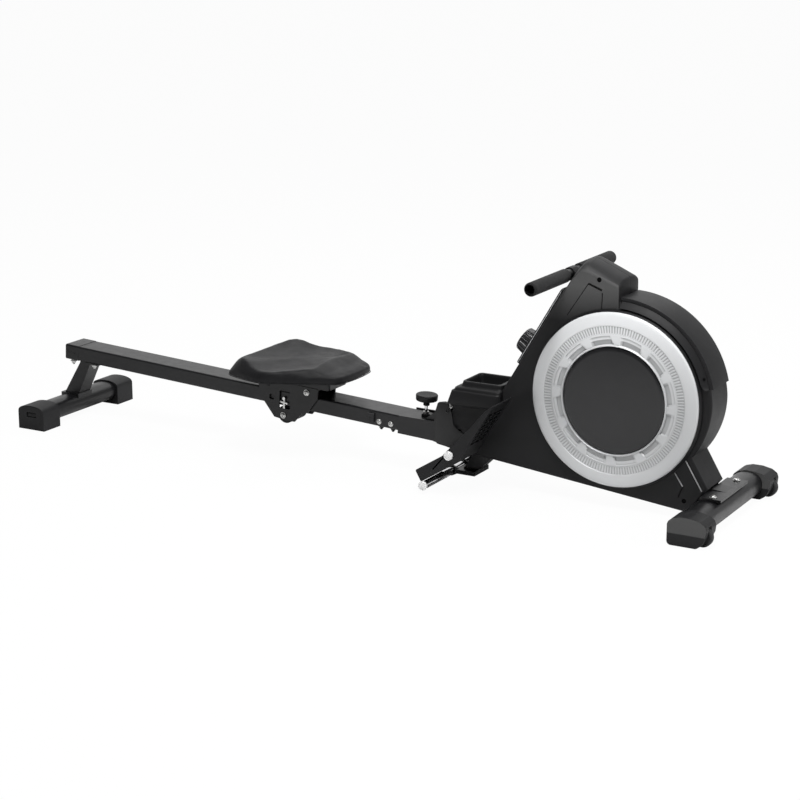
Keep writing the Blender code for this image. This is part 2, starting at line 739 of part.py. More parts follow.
def make_main_frame():
    beam = beam_outline(BEAM_REAR, BEAM_FRONT, BEAM_LIFT, BEAM_LIFT + BEAM_HEIGHT)
    frame = add("main_frame", plate(beam, BEAM_WIDTH), "black_steel")
    inside = beam_outline(BEAM_REAR - 0.01, BEAM_FRONT + 0.01, BEAM_LIFT + TUBE_WALL,
                          BEAM_LIFT + BEAM_HEIGHT - TUBE_WALL)
    cut(frame, tool("beam_hollow", plate(inside, BEAM_WIDTH - 2 * TUBE_WALL)))
    for name, side in SIDES:
        middle = side * (BEAM_WIDTH / 2 - WELD + UPRIGHT_THICKNESS / 2)
        join(frame, tool(f"upright_{name}", plate(upright_outline(), UPRIGHT_THICKNESS), "frame",
                         (0, middle, 0)))
    seat_z = TUBE_HEIGHT + FRONT_TUBE[1] / 2 + GAP
    saddle_length = SADDLE[1] - SADDLE[0]
    saddle = tool("saddle", block(saddle_length, SADDLE_SPAN, SADDLE_THICKNESS), "frame",
                  (sum(SADDLE) / 2, 0, seat_z + SADDLE_THICKNESS / 2))
    neck_outline = [(1.820, 0.050), (1.8455, 0.050), (1.860, seat_z), (1.915, seat_z),
                    (1.915, seat_z + SADDLE_THICKNESS), (1.868, seat_z + SADDLE_THICKNESS + 0.004),
                    (1.820, seat_z + 0.004)]
    neck = tool("beam_neck", plate(neck_outline, BEAM_WIDTH - 0.002), "frame")
    join(frame, saddle, neck)
    for name, (x, z), radius in (("flywheel", DRUM, AXLE_RADIUS + GAP),
                                 ("reel", REEL, AXLE_RADIUS + GAP),
                                 ("guide", GUIDE, AXLE_RADIUS / 2 + GAP),
                                 ("shoe", shoe_pivot(), AXLE_RADIUS / 2 + GAP),
                                 ("pedal", PIVOT_ROD, ROD_RADIUS + GAP)):
        cut(frame, tool(f"{name}_bore", round_bar(radius, 0.08), "frame", (x, 0, z)))
    for name, side in SIDES:
        cut(frame, tool(f"saddle_hole_{name}", round_bar(FASTENER_HOLE, 0.03, "Z"), "frame",
                        (SADDLE_BOLT[0], side * SADDLE_BOLT[1], seat_z)))
    return frame


def cradle_line(drop):
    """The cradle's underside, or a line above it: under the rail, then under the beam."""
    web = -RAIL_HEIGHT - GAP - drop
    rear = rail_point(CRADLE_REAR, web)
    mouth = rail_point(RAIL_FRONT + 0.002, web)
    lift = BEAM_LIFT - GAP - drop
    return [(rear.x, rear.z), (mouth.x, mouth.z), (BEAM_REAR, bottom_z(BEAM_REAR, lift)),
            (CRADLE_FRONT, bottom_z(CRADLE_FRONT, lift))]


def cradle_side():
    """The hinge cradle's side plate: it holds the rail and rises to the pivot."""
    return [*cradle_line(SHEET + WELD),
            (CRADLE_FRONT, 0.126), (1.215, 0.143), (1.203, 0.170), (1.198, 0.194),
            (1.189, 0.200), (1.1705, 0.1965), (1.162, 0.175), (1.157, 0.145), (CRADLE_REAR, 0.1465)]


def make_hinge_cradle():
    inner = CRADLE_HALF - SHEET / 2
    outline = cradle_side()
    cradle = add("hinge_cradle", plate(outline, SHEET), "black_steel", "frame", (0, -inner, 0))
    web = cradle_line(SHEET)[:-1] + [(CRADLE_FRONT - WELD, bottom_z(CRADLE_FRONT, BEAM_LIFT - GAP - SHEET)),
                                     (CRADLE_FRONT - WELD, bottom_z(CRADLE_FRONT, BEAM_LIFT - GAP))]
    web += list(reversed(cradle_line(0)[:-1]))
    join(cradle, tool("cradle_side_left", plate(outline, SHEET), "frame", (0, inner, 0)),
         tool("cradle_web", plate(web, 2 * (CRADLE_HALF - WELD)), "frame"))
    cut(cradle, tool("cradle_bore", round_bar(PIVOT_RADIUS + GAP, 3 * CRADLE_HALF), "frame",
                     (FOLD_PIVOT[0], 0, FOLD_PIVOT[1])))


def turned_bolt(name, finish, body, at, length, shank, head, thick, turn=NEAR_TURN, segments=16):
    """A bolt and nut as one turned pin with a head at each end."""
    half = length / 2
    profile = [(0, half + thick), (head, half + thick), (head, half), (shank, half), (shank, -half),
               (head, -half), (head, -half - thick), (0, -half - thick)]
    return turned(name, profile, finish, body, at, turn, segments)


def make_middle_foot():
    plate_size = (FOOT_X[1] - FOOT_X[0], 2 * FOOT_HALF, FOOT_Z[1] - FOOT_Z[0])
    middle = (sum(FOOT_X) / 2, 0, sum(FOOT_Z) / 2)
    foot = add("middle_foot", block(*plate_size), "black_steel", "frame", middle)
    top = bottom_z(1.305, BEAM_LIFT - GAP)
    post = [(1.224, 0.024), (1.264, 0.024), (1.305, 0.064), (1.305, top),
            (1.258, bottom_z(1.258, BEAM_LIFT - GAP)), (1.250, 0.062)]
    join(foot, tool("foot_post", plate(post, 2 * POST_HALF), "frame"))
    tab = [*arc(STOP_ROD, ROD_RADIUS + 0.004, 90, 270, 10), (FOOT_X[0] + 0.004, STOP_ROD[1] - 0.005),
           (FOOT_X[0] + 0.004, STOP_ROD[1] + 0.006)]
    for name, side in SIDES:
        join(foot, tool(f"rod_tab_{name}", plate(tab, 0.006), "frame", (0, side * TAB_Y, 0)))
    cut(foot, tool("stop_bore", round_bar(ROD_RADIUS + GAP, 0.1), "frame", (STOP_ROD[0], 0, STOP_ROD[1])))


# Drum housing

def drum_rim(start, end, steps):
    """The shell's rim round the drum, drawn in where it runs down to the column."""
    found = []
    for x, z in arc(DRUM, DRUM_RADIUS, start, end, steps):
        below = max(0.0, RIM_BLEND - atan2(z - DRUM[1], x - DRUM[0]) * 180 / pi)
        share = 1 - RIM_DRAW * (below / (RIM_BLEND - COLUMN_BEARING)) ** 1.3 / DRUM_RADIUS
        found.append((DRUM[0] + (x - DRUM[0]) * share, DRUM[1] + (z - DRUM[1]) * share))
    return found


def housing_outline():
    """The side view of the main shell, anticlockwise from the rear bottom corner."""
    return [(1.250, bottom_z(1.250)), (1.8235, bottom_z(1.8235)), (1.850, 0.040), (1.862, 0.058),
            (1.880, 0.0805), *drum_rim(COLUMN_BEARING, 89.8, 28), (1.640, 0.510), (1.640, 0.515),
            (slope_x(0.515), 0.515), SLOPE_FOOT, (TRAY_X[1] + GAP, 0.2497), (TRAY_X[1] + GAP, TRAY_Z[0] - GAP),
            (1.205, TRAY_Z[0] - GAP), (1.235, 0.130)]


def head_section(share, wall):
    """The head's side view at a share of the way from its crest to its side."""
    rows = [inset([(slope_x(z) + behind, z) if x is None else (x, z) for x, z, behind in line], wall)
            for line in (HEAD_CREST, HEAD_SIDE)]
    return [tuple(Vector(crest).lerp(Vector(flank), abs(share) ** 3)) for crest, flank in zip(*rows)]


def crowned_head(half, wall=0.0):
    """The wide head over the drum: a crest at the split that falls away to rounded sides."""
    rows = []
    for share in (-1, -0.995, -0.95, -0.84, -0.70, -0.55, -0.35, 0, 0.35, 0.55, 0.70, 0.84, 0.95, 0.995, 1):
        past = min(1.0, max(0.0, (abs(share) - 0.95) / 0.05))
        edge = HEAD_EDGE * (1 - sqrt(1 - past ** 2))
        rows.append([(x, share * half, z) for x, z in head_section(share, wall + edge)])
    return skin(rows)


def make_housing(name, side):
    """One moulded half of the drum housing, a hollow shell with a wall all round."""
    past = 0.002
    middle = side * (HOUSING_HALF - past) / 2
    shell = add(f"housing_{name}", plate(housing_outline(), HOUSING_HALF + past), "black_plastic",
                "frame", (0, middle, 0))
    join(shell, tool(f"head_{name}", crowned_head(HEAD_HALF)))
    depth = HOUSING_HALF - HOUSING_WALL + 0.010
    cut(shell,
        tool(f"hollow_{name}", plate(inset(housing_outline(), HOUSING_WALL), depth), "frame",
             (0, side * (HOUSING_HALF - HOUSING_WALL - depth / 2), 0)),
        tool(f"head_hollow_{name}", crowned_head(HEAD_HALF - HOUSING_WALL, HOUSING_WALL)),
        tool(f"split_{name}", block(2, 0.1, 2), "frame", (DRUM[0], -side * (0.05 - GAP / 2), 0)),
        tool(f"rear_mouth_{name}", block(0.080, 2 * (CRADLE_HALF + GAP), 0.118), "frame",
             (1.222, 0, 0.131)),
        tool(f"front_mouth_{name}", block(0.084, BEAM_WIDTH + 2 * GAP, 0.074), "frame", (1.852, 0, 0.0435)),
        tool(f"post_mouth_{name}", block(0.062, 2 * (POST_HALF + GAP), 0.030), "frame",
             (1.2775, 0, 0.072)),
        tool(f"axle_hole_{name}", round_bar(ROD_RADIUS + GAP, 0.2), "frame",
             (PIVOT_ROD[0], 0, PIVOT_ROD[1])),
        tool(f"strap_slot_{name}", block(0.060, SLOT[0], SLOT[1]), "frame",
             (HANDLE[0] + 0.024, 0, HANDLE[1])),
        tool(f"knob_hole_{name}", round_bar(AXLE_RADIUS + EASE, 0.030, "X"), "frame",
             slope_point(KNOB_AT, 0), SLOPE_TURN_OUT))
    return shell


SLOPE_TURN_OUT = (0, pi / 2 - radians(SLOPE_ANGLE), 0)    # local X points into the sloping face


def make_drum_guard():
    """The cover band over the drum's rim, from the head down to the front."""
    inner = DRUM_RADIUS + GAP
    outline = (arc(DRUM, inner + GUARD_THICKNESS, GUARD_START, GUARD_END, 20)
               + arc(DRUM, inner, GUARD_END, GUARD_START, 20))
    add("drum_guard", plate(outline, 2 * GUARD_HALF), "black_plastic")


def make_trim_ring(name, side):
    """The silver ring: a dished face on a skirt that stands on the housing."""
    foot = HOUSING_HALF + GAP
    profile = [(RING_INNER, RING_FACE - 0.004), (RING_INNER + 0.004, RING_FACE - 0.0025),
               (RING_STEP, RING_FACE - 0.0015), (RING_STEP + 0.002, RING_FACE),
               (RING_RADIUS - 0.009, RING_FACE), (RING_RADIUS, foot + 0.008), (RING_RADIUS, foot),
               (RING_RADIUS - TRIM_WALL, foot), (RING_RADIUS - TRIM_WALL - 0.003, RING_FACE - 0.0065),
               (RING_INNER + TRIM_WALL, RING_FACE - 0.0085), (RING_INNER + TRIM_WALL, foot),
               (RING_INNER, foot)]
    turned(f"trim_ring_{name}", profile, "silver", "frame", (DRUM[0], 0, DRUM[1]), side_turn(side),
           36, closed=True)


def make_centre_disc(name, side):
    """The domed black disc in the middle of the ring."""
    foot = HOUSING_HALF + GAP
    radius = DISC_RADIUS
    profile = [(0, DISC_CROWN), (radius * 0.55, DISC_CROWN - 0.0008), (radius * 0.9, DISC_CROWN - 0.0032),
               (radius, DISC_CROWN - 0.0075), (radius, foot), (radius - TRIM_WALL, foot),
               (radius - TRIM_WALL - 0.001, DISC_CROWN - 0.009), (0, DISC_CROWN - 0.0040)]
    turned(f"centre_disc_{name}", profile, "gloss_black", "frame",
           (DRUM[0], 0, DRUM[1]), side_turn(side), 36)


def make_storage_tray():
    """A moulded tray with a stepped rim and one deep pocket."""
    length = TRAY_X[1] - TRAY_X[0]
    body = rounded(rectangle(TRAY_X[0], TRAY_X[1], -TRAY_HALF, TRAY_HALF), 0.012)
    tray = add("storage_tray", plate(body, TRAY_Z[1] - TRAY_Z[0], axis="Z"), "black_plastic", "frame",
               (0, 0, sum(TRAY_Z) / 2))
    rim = rounded(rectangle(TRAY_X[0] + 0.022, TRAY_X[0] + length, -RIM_HALF, RIM_HALF), 0.010)
    rim_height = TRAY_RIM - TRAY_Z[1] + 0.002
    collar = plate(rim, rim_height, axis="Z")
    join(tray, tool("tray_rim", collar, "frame", (0, 0, TRAY_RIM - rim_height / 2)))
    pocket = rounded(rectangle(POCKET_X[0], POCKET_X[1], -POCKET_HALF, POCKET_HALF), 0.010)
    pocket_height = TRAY_RIM - POCKET_FLOOR + 0.01
    cut(tray, tool("pocket", plate(pocket, pocket_height, axis="Z"), "frame",
                   (0, 0, POCKET_FLOOR + pocket_height / 2)))


# Console, knob, strap and handle

def make_console():
    middle = sum(CONSOLE) / 2
    length = CONSOLE[1] - CONSOLE[0]
    outline = rounded(rectangle(-length / 2, length / 2, -CONSOLE_HALF, CONSOLE_HALF), 0.008)
    panel = add("console_body", plate(outline, CONSOLE_THICKNESS, axis="Z"), "black_plastic", "frame",
                slope_point(middle, GAP + CONSOLE_THICKNESS / 2), SLOPE_TURN)
    face = GAP + CONSOLE_THICKNESS
    screen_middle = sum(SCREEN) / 2
    screen_size = (SCREEN[1] - SCREEN[0], 2 * SCREEN_HALF)
    recess = block(screen_size[0] + 2 * GAP, screen_size[1] + 2 * GAP, 0.004 + 2 * GAP)
    cut(panel, tool("screen_recess", recess, "frame", slope_point(screen_middle, face - 0.001), SLOPE_TURN))
    well = round_bar(BUTTON[1] + EASE, 0.014, "Z", 20)
    cut(panel, tool("button_well", well, "frame", slope_point(BUTTON[0], face), SLOPE_TURN))
    shaft = round_bar(AXLE_RADIUS + EASE, 0.04, "Z")
    cut(panel, tool("knob_shaft_hole", shaft, "frame", slope_point(KNOB_AT, 0), SLOPE_TURN))
    add("console_screen", block(*screen_size, 0.002), "screen", "frame",
        slope_point(screen_middle, face - 0.003 + 0.001), SLOPE_TURN)
    button_out = face - 0.007 + GAP + BUTTON_TRAVEL
    add("console_button", round_bar(BUTTON[1], 0.008, "Z", 20), "red_plastic", "button_body",
        slope_point(BUTTON[0], button_out + 0.004), SLOPE_TURN)


def ribbed(radius, depth, ribs):
    """The round outline of a knob with finger ribs."""
    found = []
    for rib in range(ribs):
        for share, inwards in ((0.0, 0), (0.5, 0), (0.65, depth), (0.85, depth)):
            angle = 2 * pi * (rib + share) / ribs
            found.append(((radius - inwards) * cos(angle), (radius - inwards) * sin(angle)))
    return found


def make_tension_knob():
    low = 2 * GAP + CONSOLE_THICKNESS
    outline = ribbed(KNOB_RADIUS, KNOB_RIB_DEPTH, KNOB_RIBS)
    knob = add("tension_knob", plate(outline, KNOB_DEPTH, axis="Z"), "black_plastic", "knob_body",
               slope_point(KNOB_AT, low + KNOB_DEPTH / 2), SLOPE_TURN)
    shaft_length = low + 0.003 + KNOB_SHAFT_REACH
    join(knob, tool("knob_shaft", round_bar(AXLE_RADIUS, shaft_length, "Z"), "knob_body",
                    slope_point(KNOB_AT, low + 0.003 - shaft_length / 2), SLOPE_TURN))


def tangent_side(first, second, radius_1, radius_2):
    """Angle of the outer tangent's contact, on the front side of two circles."""
    heading = atan2(second[1] - first[1], second[0] - first[0])
    spacing = hypot(second[0] - first[0], second[1] - first[1])
    lean = (radius_2 - radius_1) / spacing
    return (heading + pi / 2 + atan(lean / sqrt(1 - lean * lean))) * 180 / pi


def strap_path(offset):
    """One face of the strap's inner run: over the guide roller and down to the reel."""
    guide = GUIDE_RADIUS + GAP + STRAP_THICKNESS / 2 + offset
    reel = REEL_RADIUS + GAP + STRAP_THICKNESS / 2 + offset
    contact = tangent_side(GUIDE, REEL, guide, reel)
    return arc(GUIDE, guide, 90, contact, 10) + arc(REEL, reel, contact, contact - 60, 6)


def make_strap():
    """The straight run that the handle pulls out, and the run inside the housing."""
    start = HANDLE[0] + GRIP_RADIUS
    end = GUIDE[0] - GAP
    low = GUIDE[1] + GUIDE_RADIUS + GAP
    section = rectangle(start + GAP, end, low, low + STRAP_THICKNESS)
    add("pull_strap", plate(section, STRAP_WIDTH), "webbing")
    outer = strap_path(STRAP_THICKNESS / 2)
    inner = strap_path(-STRAP_THICKNESS / 2)
    add("reel_strap", plate([*outer, *reversed(inner)], STRAP_WIDTH), "webbing")


def make_handle():
    centre = (HANDLE[0], 0, HANDLE[1])
    half = HANDLE_SPAN / 2
    bar = round_bar(BAR_RADIUS, HANDLE_SPAN)
    bar_piece = add("handle_bar", bar, "black_steel", "handle_body", centre)
    bore = round_bar(BAR_BORE, HANDLE_SPAN + 0.02, segments=12)
    cut(bar_piece, tool("bar_bore", bore, "handle_body", centre))
    ring = circle(GRIP_RADIUS)
    hole = circle(BAR_RADIUS + GAP)
    for name, side in SIDES:
        add(f"grip_{name}", plate(ring, GRIP_LENGTH, [hole]), "foam", "handle_body",
            (HANDLE[0], side * (half - GRIP_LENGTH / 2), HANDLE[1]))
    clip = rounded(rectangle(-0.0155, 0.0160, -0.0155, 0.0155), 0.010, 4)
    add("strap_clip", plate(clip, CLIP_WIDTH, [hole]), "black_plastic", "handle_body", centre)


# Flywheel, reel and brake

def make_flywheel():
    half = FLYWHEEL_HALF
    radius = FLYWHEEL_RADIUS
    bore = AXLE_RADIUS + GAP
    profile = [(bore, half + 0.008), (0.018, half + 0.008), (0.020, 0.004), (radius - 0.030, 0.004),
               (radius - 0.026, half), (radius, half), (radius, -half), (radius - 0.026, -half),
               (radius - 0.030, -0.004), (0.020, -0.004), (0.018, -half - 0.008), (bore, -half - 0.008)]
    centre = (DRUM[0], 0, DRUM[1])
    turned("flywheel", profile, "raw_iron", "flywheel_body", centre, FAR_TURN, 28, closed=True)
    axle = shaft_profile(AXLE_RADIUS, SMALL_PULLEY)
    turned("flywheel_axle", axle, "zinc", "flywheel_body", centre, FAR_TURN, 16)
    reel_centre = (REEL[0], 0, REEL[1])
    pulley = shaft_profile(AXLE_RADIUS, LARGE_PULLEY)
    turned("drive_pulley", pulley, "black_plastic", "pulley_body", reel_centre, FAR_TURN, 24)
    core = AXLE_RADIUS + GAP
    flange_in = STRAP_WIDTH / 2 + 0.001
    flange_out = flange_in + 0.003
    reel = [(core, flange_out), (REEL_FLANGE, flange_out), (REEL_FLANGE, flange_in),
            (REEL_RADIUS, flange_in), (REEL_RADIUS, -flange_in), (REEL_FLANGE, -flange_in),
            (REEL_FLANGE, -flange_out), (core, -flange_out)]
    turned("strap_reel", reel, "black_plastic", "reel_body", reel_centre, FAR_TURN, 20, closed=True)


def shaft_profile(shaft, pulley):
    """A shaft across the uprights with its belt pulley outside the left one."""
    low, high = PULLEY_Y
    return [(0, AXLE_END), (shaft, AXLE_END), (shaft, high), (pulley, high), (pulley, low),
            (shaft + 0.004, low), (shaft + 0.004, low - 0.003), (shaft, low - 0.003), (shaft, -AXLE_END),
            (0, -AXLE_END)]


def make_drive_belt():
    """The flat belt round the drive pulley and the flywheel's small pulley."""
    loops = []
    for extra in (GAP + BELT_THICKNESS, GAP):
        small = SMALL_PULLEY + extra
        large = LARGE_PULLEY + extra
        heading = atan2(DRUM[1] - REEL[1], DRUM[0] - REEL[0])
        spacing = hypot(DRUM[0] - REEL[0], DRUM[1] - REEL[1])
        lean = atan((large - small) / sqrt(spacing ** 2 - (large - small) ** 2))
        upper = (heading + pi / 2 - lean) * 180 / pi
        lower = (heading - pi / 2 + lean) * 180 / pi
        loops.append(arc(DRUM, small, lower, upper, 8) + arc(REEL, large, upper, lower + 360, 20))
    low, high = PULLEY_Y
    width = high - low - 0.002
    add("drive_belt", plate(loops[0], width, [loops[1]]), "rubber", "frame", (0, (low + high) / 2, 0))


def make_recoil_spring():
    """A spiral spring strip beside the reel, round its shaft."""
    outer = []
    inner = []
    turns = 3
    steps = 12 * turns
    for step in range(steps + 1):
        angle = 2 * pi * turns * step / steps
        radius = AXLE_RADIUS + 0.0020 + 0.0070 * turns * step / steps
        outer.append((REEL[0] + (radius + 0.0012) * cos(angle), REEL[1] + (radius + 0.0012) * sin(angle)))
        inner.append((REEL[0] + radius * cos(angle), REEL[1] + radius * sin(angle)))
    place = (0, -(BEAM_WIDTH / 2 + UPRIGHT_THICKNESS + GAP + 0.005), 0)
    add("recoil_spring", plate([*outer, *reversed(inner)], 0.010), "zinc", "frame", place)


def make_guide_roller():
    half = 0.0160
    pin = AXLE_RADIUS / 2
    end = BEAM_WIDTH / 2 + UPRIGHT_THICKNESS
    rim = GUIDE_RADIUS + 0.003
    edge = STRAP_WIDTH / 2 + 0.0008
    profile = [(0, end), (pin, end), (pin, half), (rim, half), (rim, edge), (GUIDE_RADIUS, edge),
               (GUIDE_RADIUS, -edge), (rim, -edge), (rim, -half), (pin, -half), (pin, -end), (0, -end)]
    turned("guide_roller", profile, "white_plastic", "guide_body", (GUIDE[0], 0, GUIDE[1]), FAR_TURN, 16)


def shoe_pivot():
    angle = radians(SHOE_PIVOT_ANGLE)
    radius = (MAGNET_RADII[1] + SHOE_RADIUS) / 2 + 0.004
    return (DRUM[0] + radius * cos(angle), DRUM[1] + radius * sin(angle))


def make_brake():
    """The curved shoe with its magnets, hinged above the flywheel's rim."""
    inner = MAGNET_RADII[1] + GAP
    outline = arc(DRUM, SHOE_RADIUS, *SHOE_ARC, 12) + arc(DRUM, inner, *reversed(SHOE_ARC), 12)
    shoe = add("magnet_shoe", plate(outline, 2 * SHOE_HALF), "zinc", "shoe_body")
    pivot = shoe_pivot()
    arm_root = arc(DRUM, SHOE_RADIUS - 0.001, SHOE_ARC[1] - 6, SHOE_ARC[1] - 6, 1)[0]
    arm = tool("shoe_arm", plate(oblong(pivot, arm_root, SHOE_EYE), 2 * SHOE_HALF - 0.002), "shoe_body")
    keep = tool("shoe_arm_trim", plate(arc(DRUM, inner, 0, 354, 59), 0.1), "shoe_body")
    pin = tool("shoe_pin", round_bar(AXLE_RADIUS / 2, BEAM_WIDTH + 2 * UPRIGHT_THICKNESS, segments=12),
               "shoe_body", (pivot[0], 0, pivot[1]))
    join(shoe, arm)
    cut(shoe, keep)
    join(shoe, pin)
    pad = (arc(DRUM, MAGNET_RADII[1], *MAGNET_ARC, 10)
           + arc(DRUM, MAGNET_RADII[0], *reversed(MAGNET_ARC), 10))
    add("brake_magnet", plate(pad, 2 * SHOE_HALF - 0.004), "raw_iron", "shoe_body")


def smooth_route(route, steps):
    """Points along the smooth curve that passes through the route's own points."""
    padded = [route[0], *route, route[-1]]
    found = []
    for before, start, end, after in zip(padded, padded[1:], padded[2:], padded[3:]):
        for step in range(steps):
            t = step / steps
            found.append(0.5 * (2 * start + (end - before) * t
                                + (2 * before - 5 * start + 4 * end - after) * t ** 2
                                + (3 * start - before - 3 * end + after) * t ** 3))
    return [*found, route[-1]]


def make_tension_cable():
    """The cable from the knob's shaft to the free end of the magnet shoe's arm."""
    drawing = bpy.data.curves.new("tension_cable", "CURVE")
    drawing.dimensions = "3D"
    drawing.bevel_depth = 0.0018
    drawing.bevel_resolution = 1
    drawing.use_fill_caps = True
    shaft_end = -KNOB_SHAFT_REACH - 3 * GAP
    pivot = shoe_pivot()
    route = [slope_point(KNOB_AT, shaft_end), slope_point(KNOB_AT, shaft_end - 0.010),
             Vector((1.465, -0.012, 0.345)), Vector((1.500, -0.019, 0.364)),
             Vector((1.530, -0.0195, 0.385)), Vector((pivot[0] - 0.022, -0.0165, pivot[1] - 0.003)),
             Vector((pivot[0] - 0.013, -0.011, pivot[1])),
             Vector((pivot[0] - SHOE_EYE - GAP, -0.010, pivot[1]))]
    places = smooth_route(route, 2)
    spline = drawing.splines.new("POLY")
    spline.points.add(len(places) - 1)
    for point, place in zip(spline.points, places):
        point.co = (*place, 1)
    piece = bpy.data.objects.new("tension_cable", drawing)
    PARTS.objects.link(piece)
    drawing.materials.append(painted("tension_cable", "black_plastic"))
    seat_on(piece, "frame")


# Pedals and rods

def make_rods():
    """Two cross rods, each with a plug pressed over both ends."""
    plug = ROD_SPAN / 2
    tip = plug + PLUG_LENGTH
    profile = [(0, tip), (PLUG_RADIUS - 0.001, tip), (PLUG_RADIUS, tip - 0.001), (PLUG_RADIUS, plug),
               (ROD_RADIUS, plug), (ROD_RADIUS, -plug), (PLUG_RADIUS, -plug), (PLUG_RADIUS, 0.001 - tip),
               (PLUG_RADIUS - 0.001, -tip), (0, -tip)]
    for name, (x, z) in (("pedal_axle", PIVOT_ROD), ("stop_rod", STOP_ROD)):
        turned(name, profile, "chrome", "frame", (x, 0, z), FAR_TURN, 16)


def pedal_outline():
    """The foot pedal's side view, from the heel round to the toe."""
    return [(1.1925, 0.0295), (1.2925, 0.092), (1.3215, 0.141), (1.379, 0.233), (1.391, 0.249),
            (1.3635, 0.228), (1.319, 0.1755), (1.256, 0.1100), (1.251, 0.1035), (1.1765, 0.057)]


def make_pedal(name, side):
    middle = side * (PEDAL_Y[0] + PEDAL_Y[1]) / 2
    width = PEDAL_Y[1] - PEDAL_Y[0]
    pedal = add(f"pedal_{name}", plate(pedal_outline(), width), "black_plastic", f"pedal_body_{name}",
                (0, middle, 0))
    half = width / 2
    plan = [(-0.24, -half - 0.001), (0.092, -half - 0.001), *arc((0.096, 0), half, -90, 90, 12),
            (-0.24, half + 0.001)]
    keep = tool(f"pedal_plan_{name}", plate(plan, 0.3, axis="Z"), f"pedal_body_{name}",
                (1.319, middle, 0.1755), (0, -radians(47.9), 0))
    shaped(pedal, "INTERSECT", keep)
    slot = oblong((1.226, 0.0665), (1.265, 0.113), 0.00175, 3)
    cut(pedal,
        tool(f"pedal_bore_{name}", round_bar(ROD_RADIUS + GAP, 0.2), f"pedal_body_{name}",
             (PIVOT_ROD[0], middle, PIVOT_ROD[1])),
        tool(f"pedal_rest_{name}", round_bar(ROD_RADIUS + GAP, 0.2), f"pedal_body_{name}",
             (STOP_ROD[0], middle, STOP_ROD[1])),
        tool(f"pedal_slot_{name}", plate(slot, 2 * width), f"pedal_body_{name}", (0, middle, 0)))


# Hinge pin, pull knob and rail fittings

def make_rail_stops():
    """Rubber blocks on the rail's sides, where the seat carriage stops."""
    for name, side in SIDES:
        place = rail_point(RAIL_STOP, -RAIL_HEIGHT / 2, side * (RAIL_WIDTH / 2 + GAP + STOP_BLOCK[1] / 2))
        add(f"rail_stop_{name}", block(*STOP_BLOCK), "rubber", "rail_body", place, RAIL_TURN)


def make_pull_knob():
    place = rail_point(PULL_X, 0)
    low, high = PULL_HEAD
    neck_low = low - PULL_NECK_LENGTH
    profile = [(0, high), (PULL_RADIUS - 0.004, high), (PULL_RADIUS - 0.001, high - 0.001),
               (PULL_RADIUS, high - 0.004), (PULL_RADIUS - 0.001, low + 0.004), (PULL_RADIUS - 0.004, low),
               (PULL_NECK + 0.003, low - 0.002), (PULL_NECK, neck_low), (PIN_RADIUS + GAP, neck_low),
               (PIN_RADIUS + GAP, high - 0.010), (0, high - 0.010)]
    turned("pull_knob", profile, "black_plastic", "pull_body", place, RAIL_TURN, 20)
    pin_low = -RAIL_HEIGHT + 0.0012
    pin_length = high - 0.010 - GAP - pin_low
    add("lock_pin", round_bar(PIN_RADIUS, pin_length, "Z", 20), "chrome", "pull_body",
        rail_point(PULL_X, pin_low + pin_length / 2), RAIL_TURN)


def make_pivot_bolt():
    turned_bolt("pivot_bolt", "black_steel", "frame", (FOLD_PIVOT[0], 0, FOLD_PIVOT[1]),
                2 * (CRADLE_HALF + GAP), PIVOT_RADIUS, 0.0085, 0.0035)


def make_saddle_bolts():
    """The bolts that hold the frame's saddle down on the front stabilizer."""
    seat_z = TUBE_HEIGHT + FRONT_TUBE[1] / 2 + GAP + SADDLE_THICKNESS + GAP
    profile = [(0, 0.0055), (0.0060, 0.0055), (0.0085, 0.0020), (0.0085, 0), (0.0040, 0),
               (0.0040, -SADDLE_THICKNESS), (0, -SADDLE_THICKNESS)]
    for name, side in SIDES:
        turned(f"saddle_bolt_{name}", profile, "zinc", "frame",
               (SADDLE_BOLT[0], side * SADDLE_BOLT[1], seat_z), steps=16)


# Seat

def skirt_outline():
    """The carriage's side plate, in rail coordinates from the seat's middle."""
    return [(-0.0915, DECK), (-0.0915, 0.0171), (-0.0795, -0.0322), (-0.0705, -0.0357), (-0.0375, -0.0728),
            (-0.0005, -0.0766), (0.0250, -0.0752), (0.0455, -0.0490), (0.0635, -0.0429), (0.0915, -0.0023),
            (0.0915, DECK)]


def make_carriage():
    seat = rail_point(SEAT_S, 0)
    outline = skirt_outline()
    window = rounded(rectangle(-0.0235, 0.0095, -0.0460, 0.0010), 0.002, 1)
    hole = rounded(rectangle(-0.0545, -0.0395, -0.0275, -0.0135), 0.003, 1)
    middle = SKIRT_HALF - SHEET / 2
    skirt = plate(outline, SHEET, [window, hole])
    place = seat.copy()
    place.y = -middle
    carriage = add("seat_carriage", skirt, "black_steel", "seat_body", place, RAIL_TURN)
    other = seat.copy()
    other.y = middle
    deck = block(0.183, 2 * SKIRT_HALF - 0.001, SHEET)
    join(carriage, tool("left_skirt", plate(outline, SHEET, [window, hole]), "seat_body", other, RAIL_TURN),
         tool("deck", deck, "seat_body", rail_point(SEAT_S, DECK - GAP - SHEET / 2), RAIL_TURN))
    for name, (s, h, _) in ROLLERS.items():
        cut(carriage, tool(f"{name}_bore", round_bar(SPINDLE + GAP, 0.12, segments=16), "seat_body",
                           rail_point(SEAT_S + s, h)))


def make_rollers():
    """Rollers turned in one with their spindles and the heads outside the skirts."""
    for name, (s, h, radius) in ROLLERS.items():
        half = ROLLER_WIDTH / 2
        lip = 0.0015
        rim = radius - GAP
        head = SKIRT_HALF + GAP
        side = [(0, head + HEAD_HEIGHT), (HEAD_RADIUS - lip, head + HEAD_HEIGHT), (HEAD_RADIUS, head),
                (SPINDLE, head), (SPINDLE, half), (rim - lip, half), (rim, half - lip)]
        profile = side + [(r, -y) for r, y in reversed(side)]
        turned(name, profile, "black_plastic", f"{name}_body", rail_point(SEAT_S + s, h), FAR_TURN, 16)


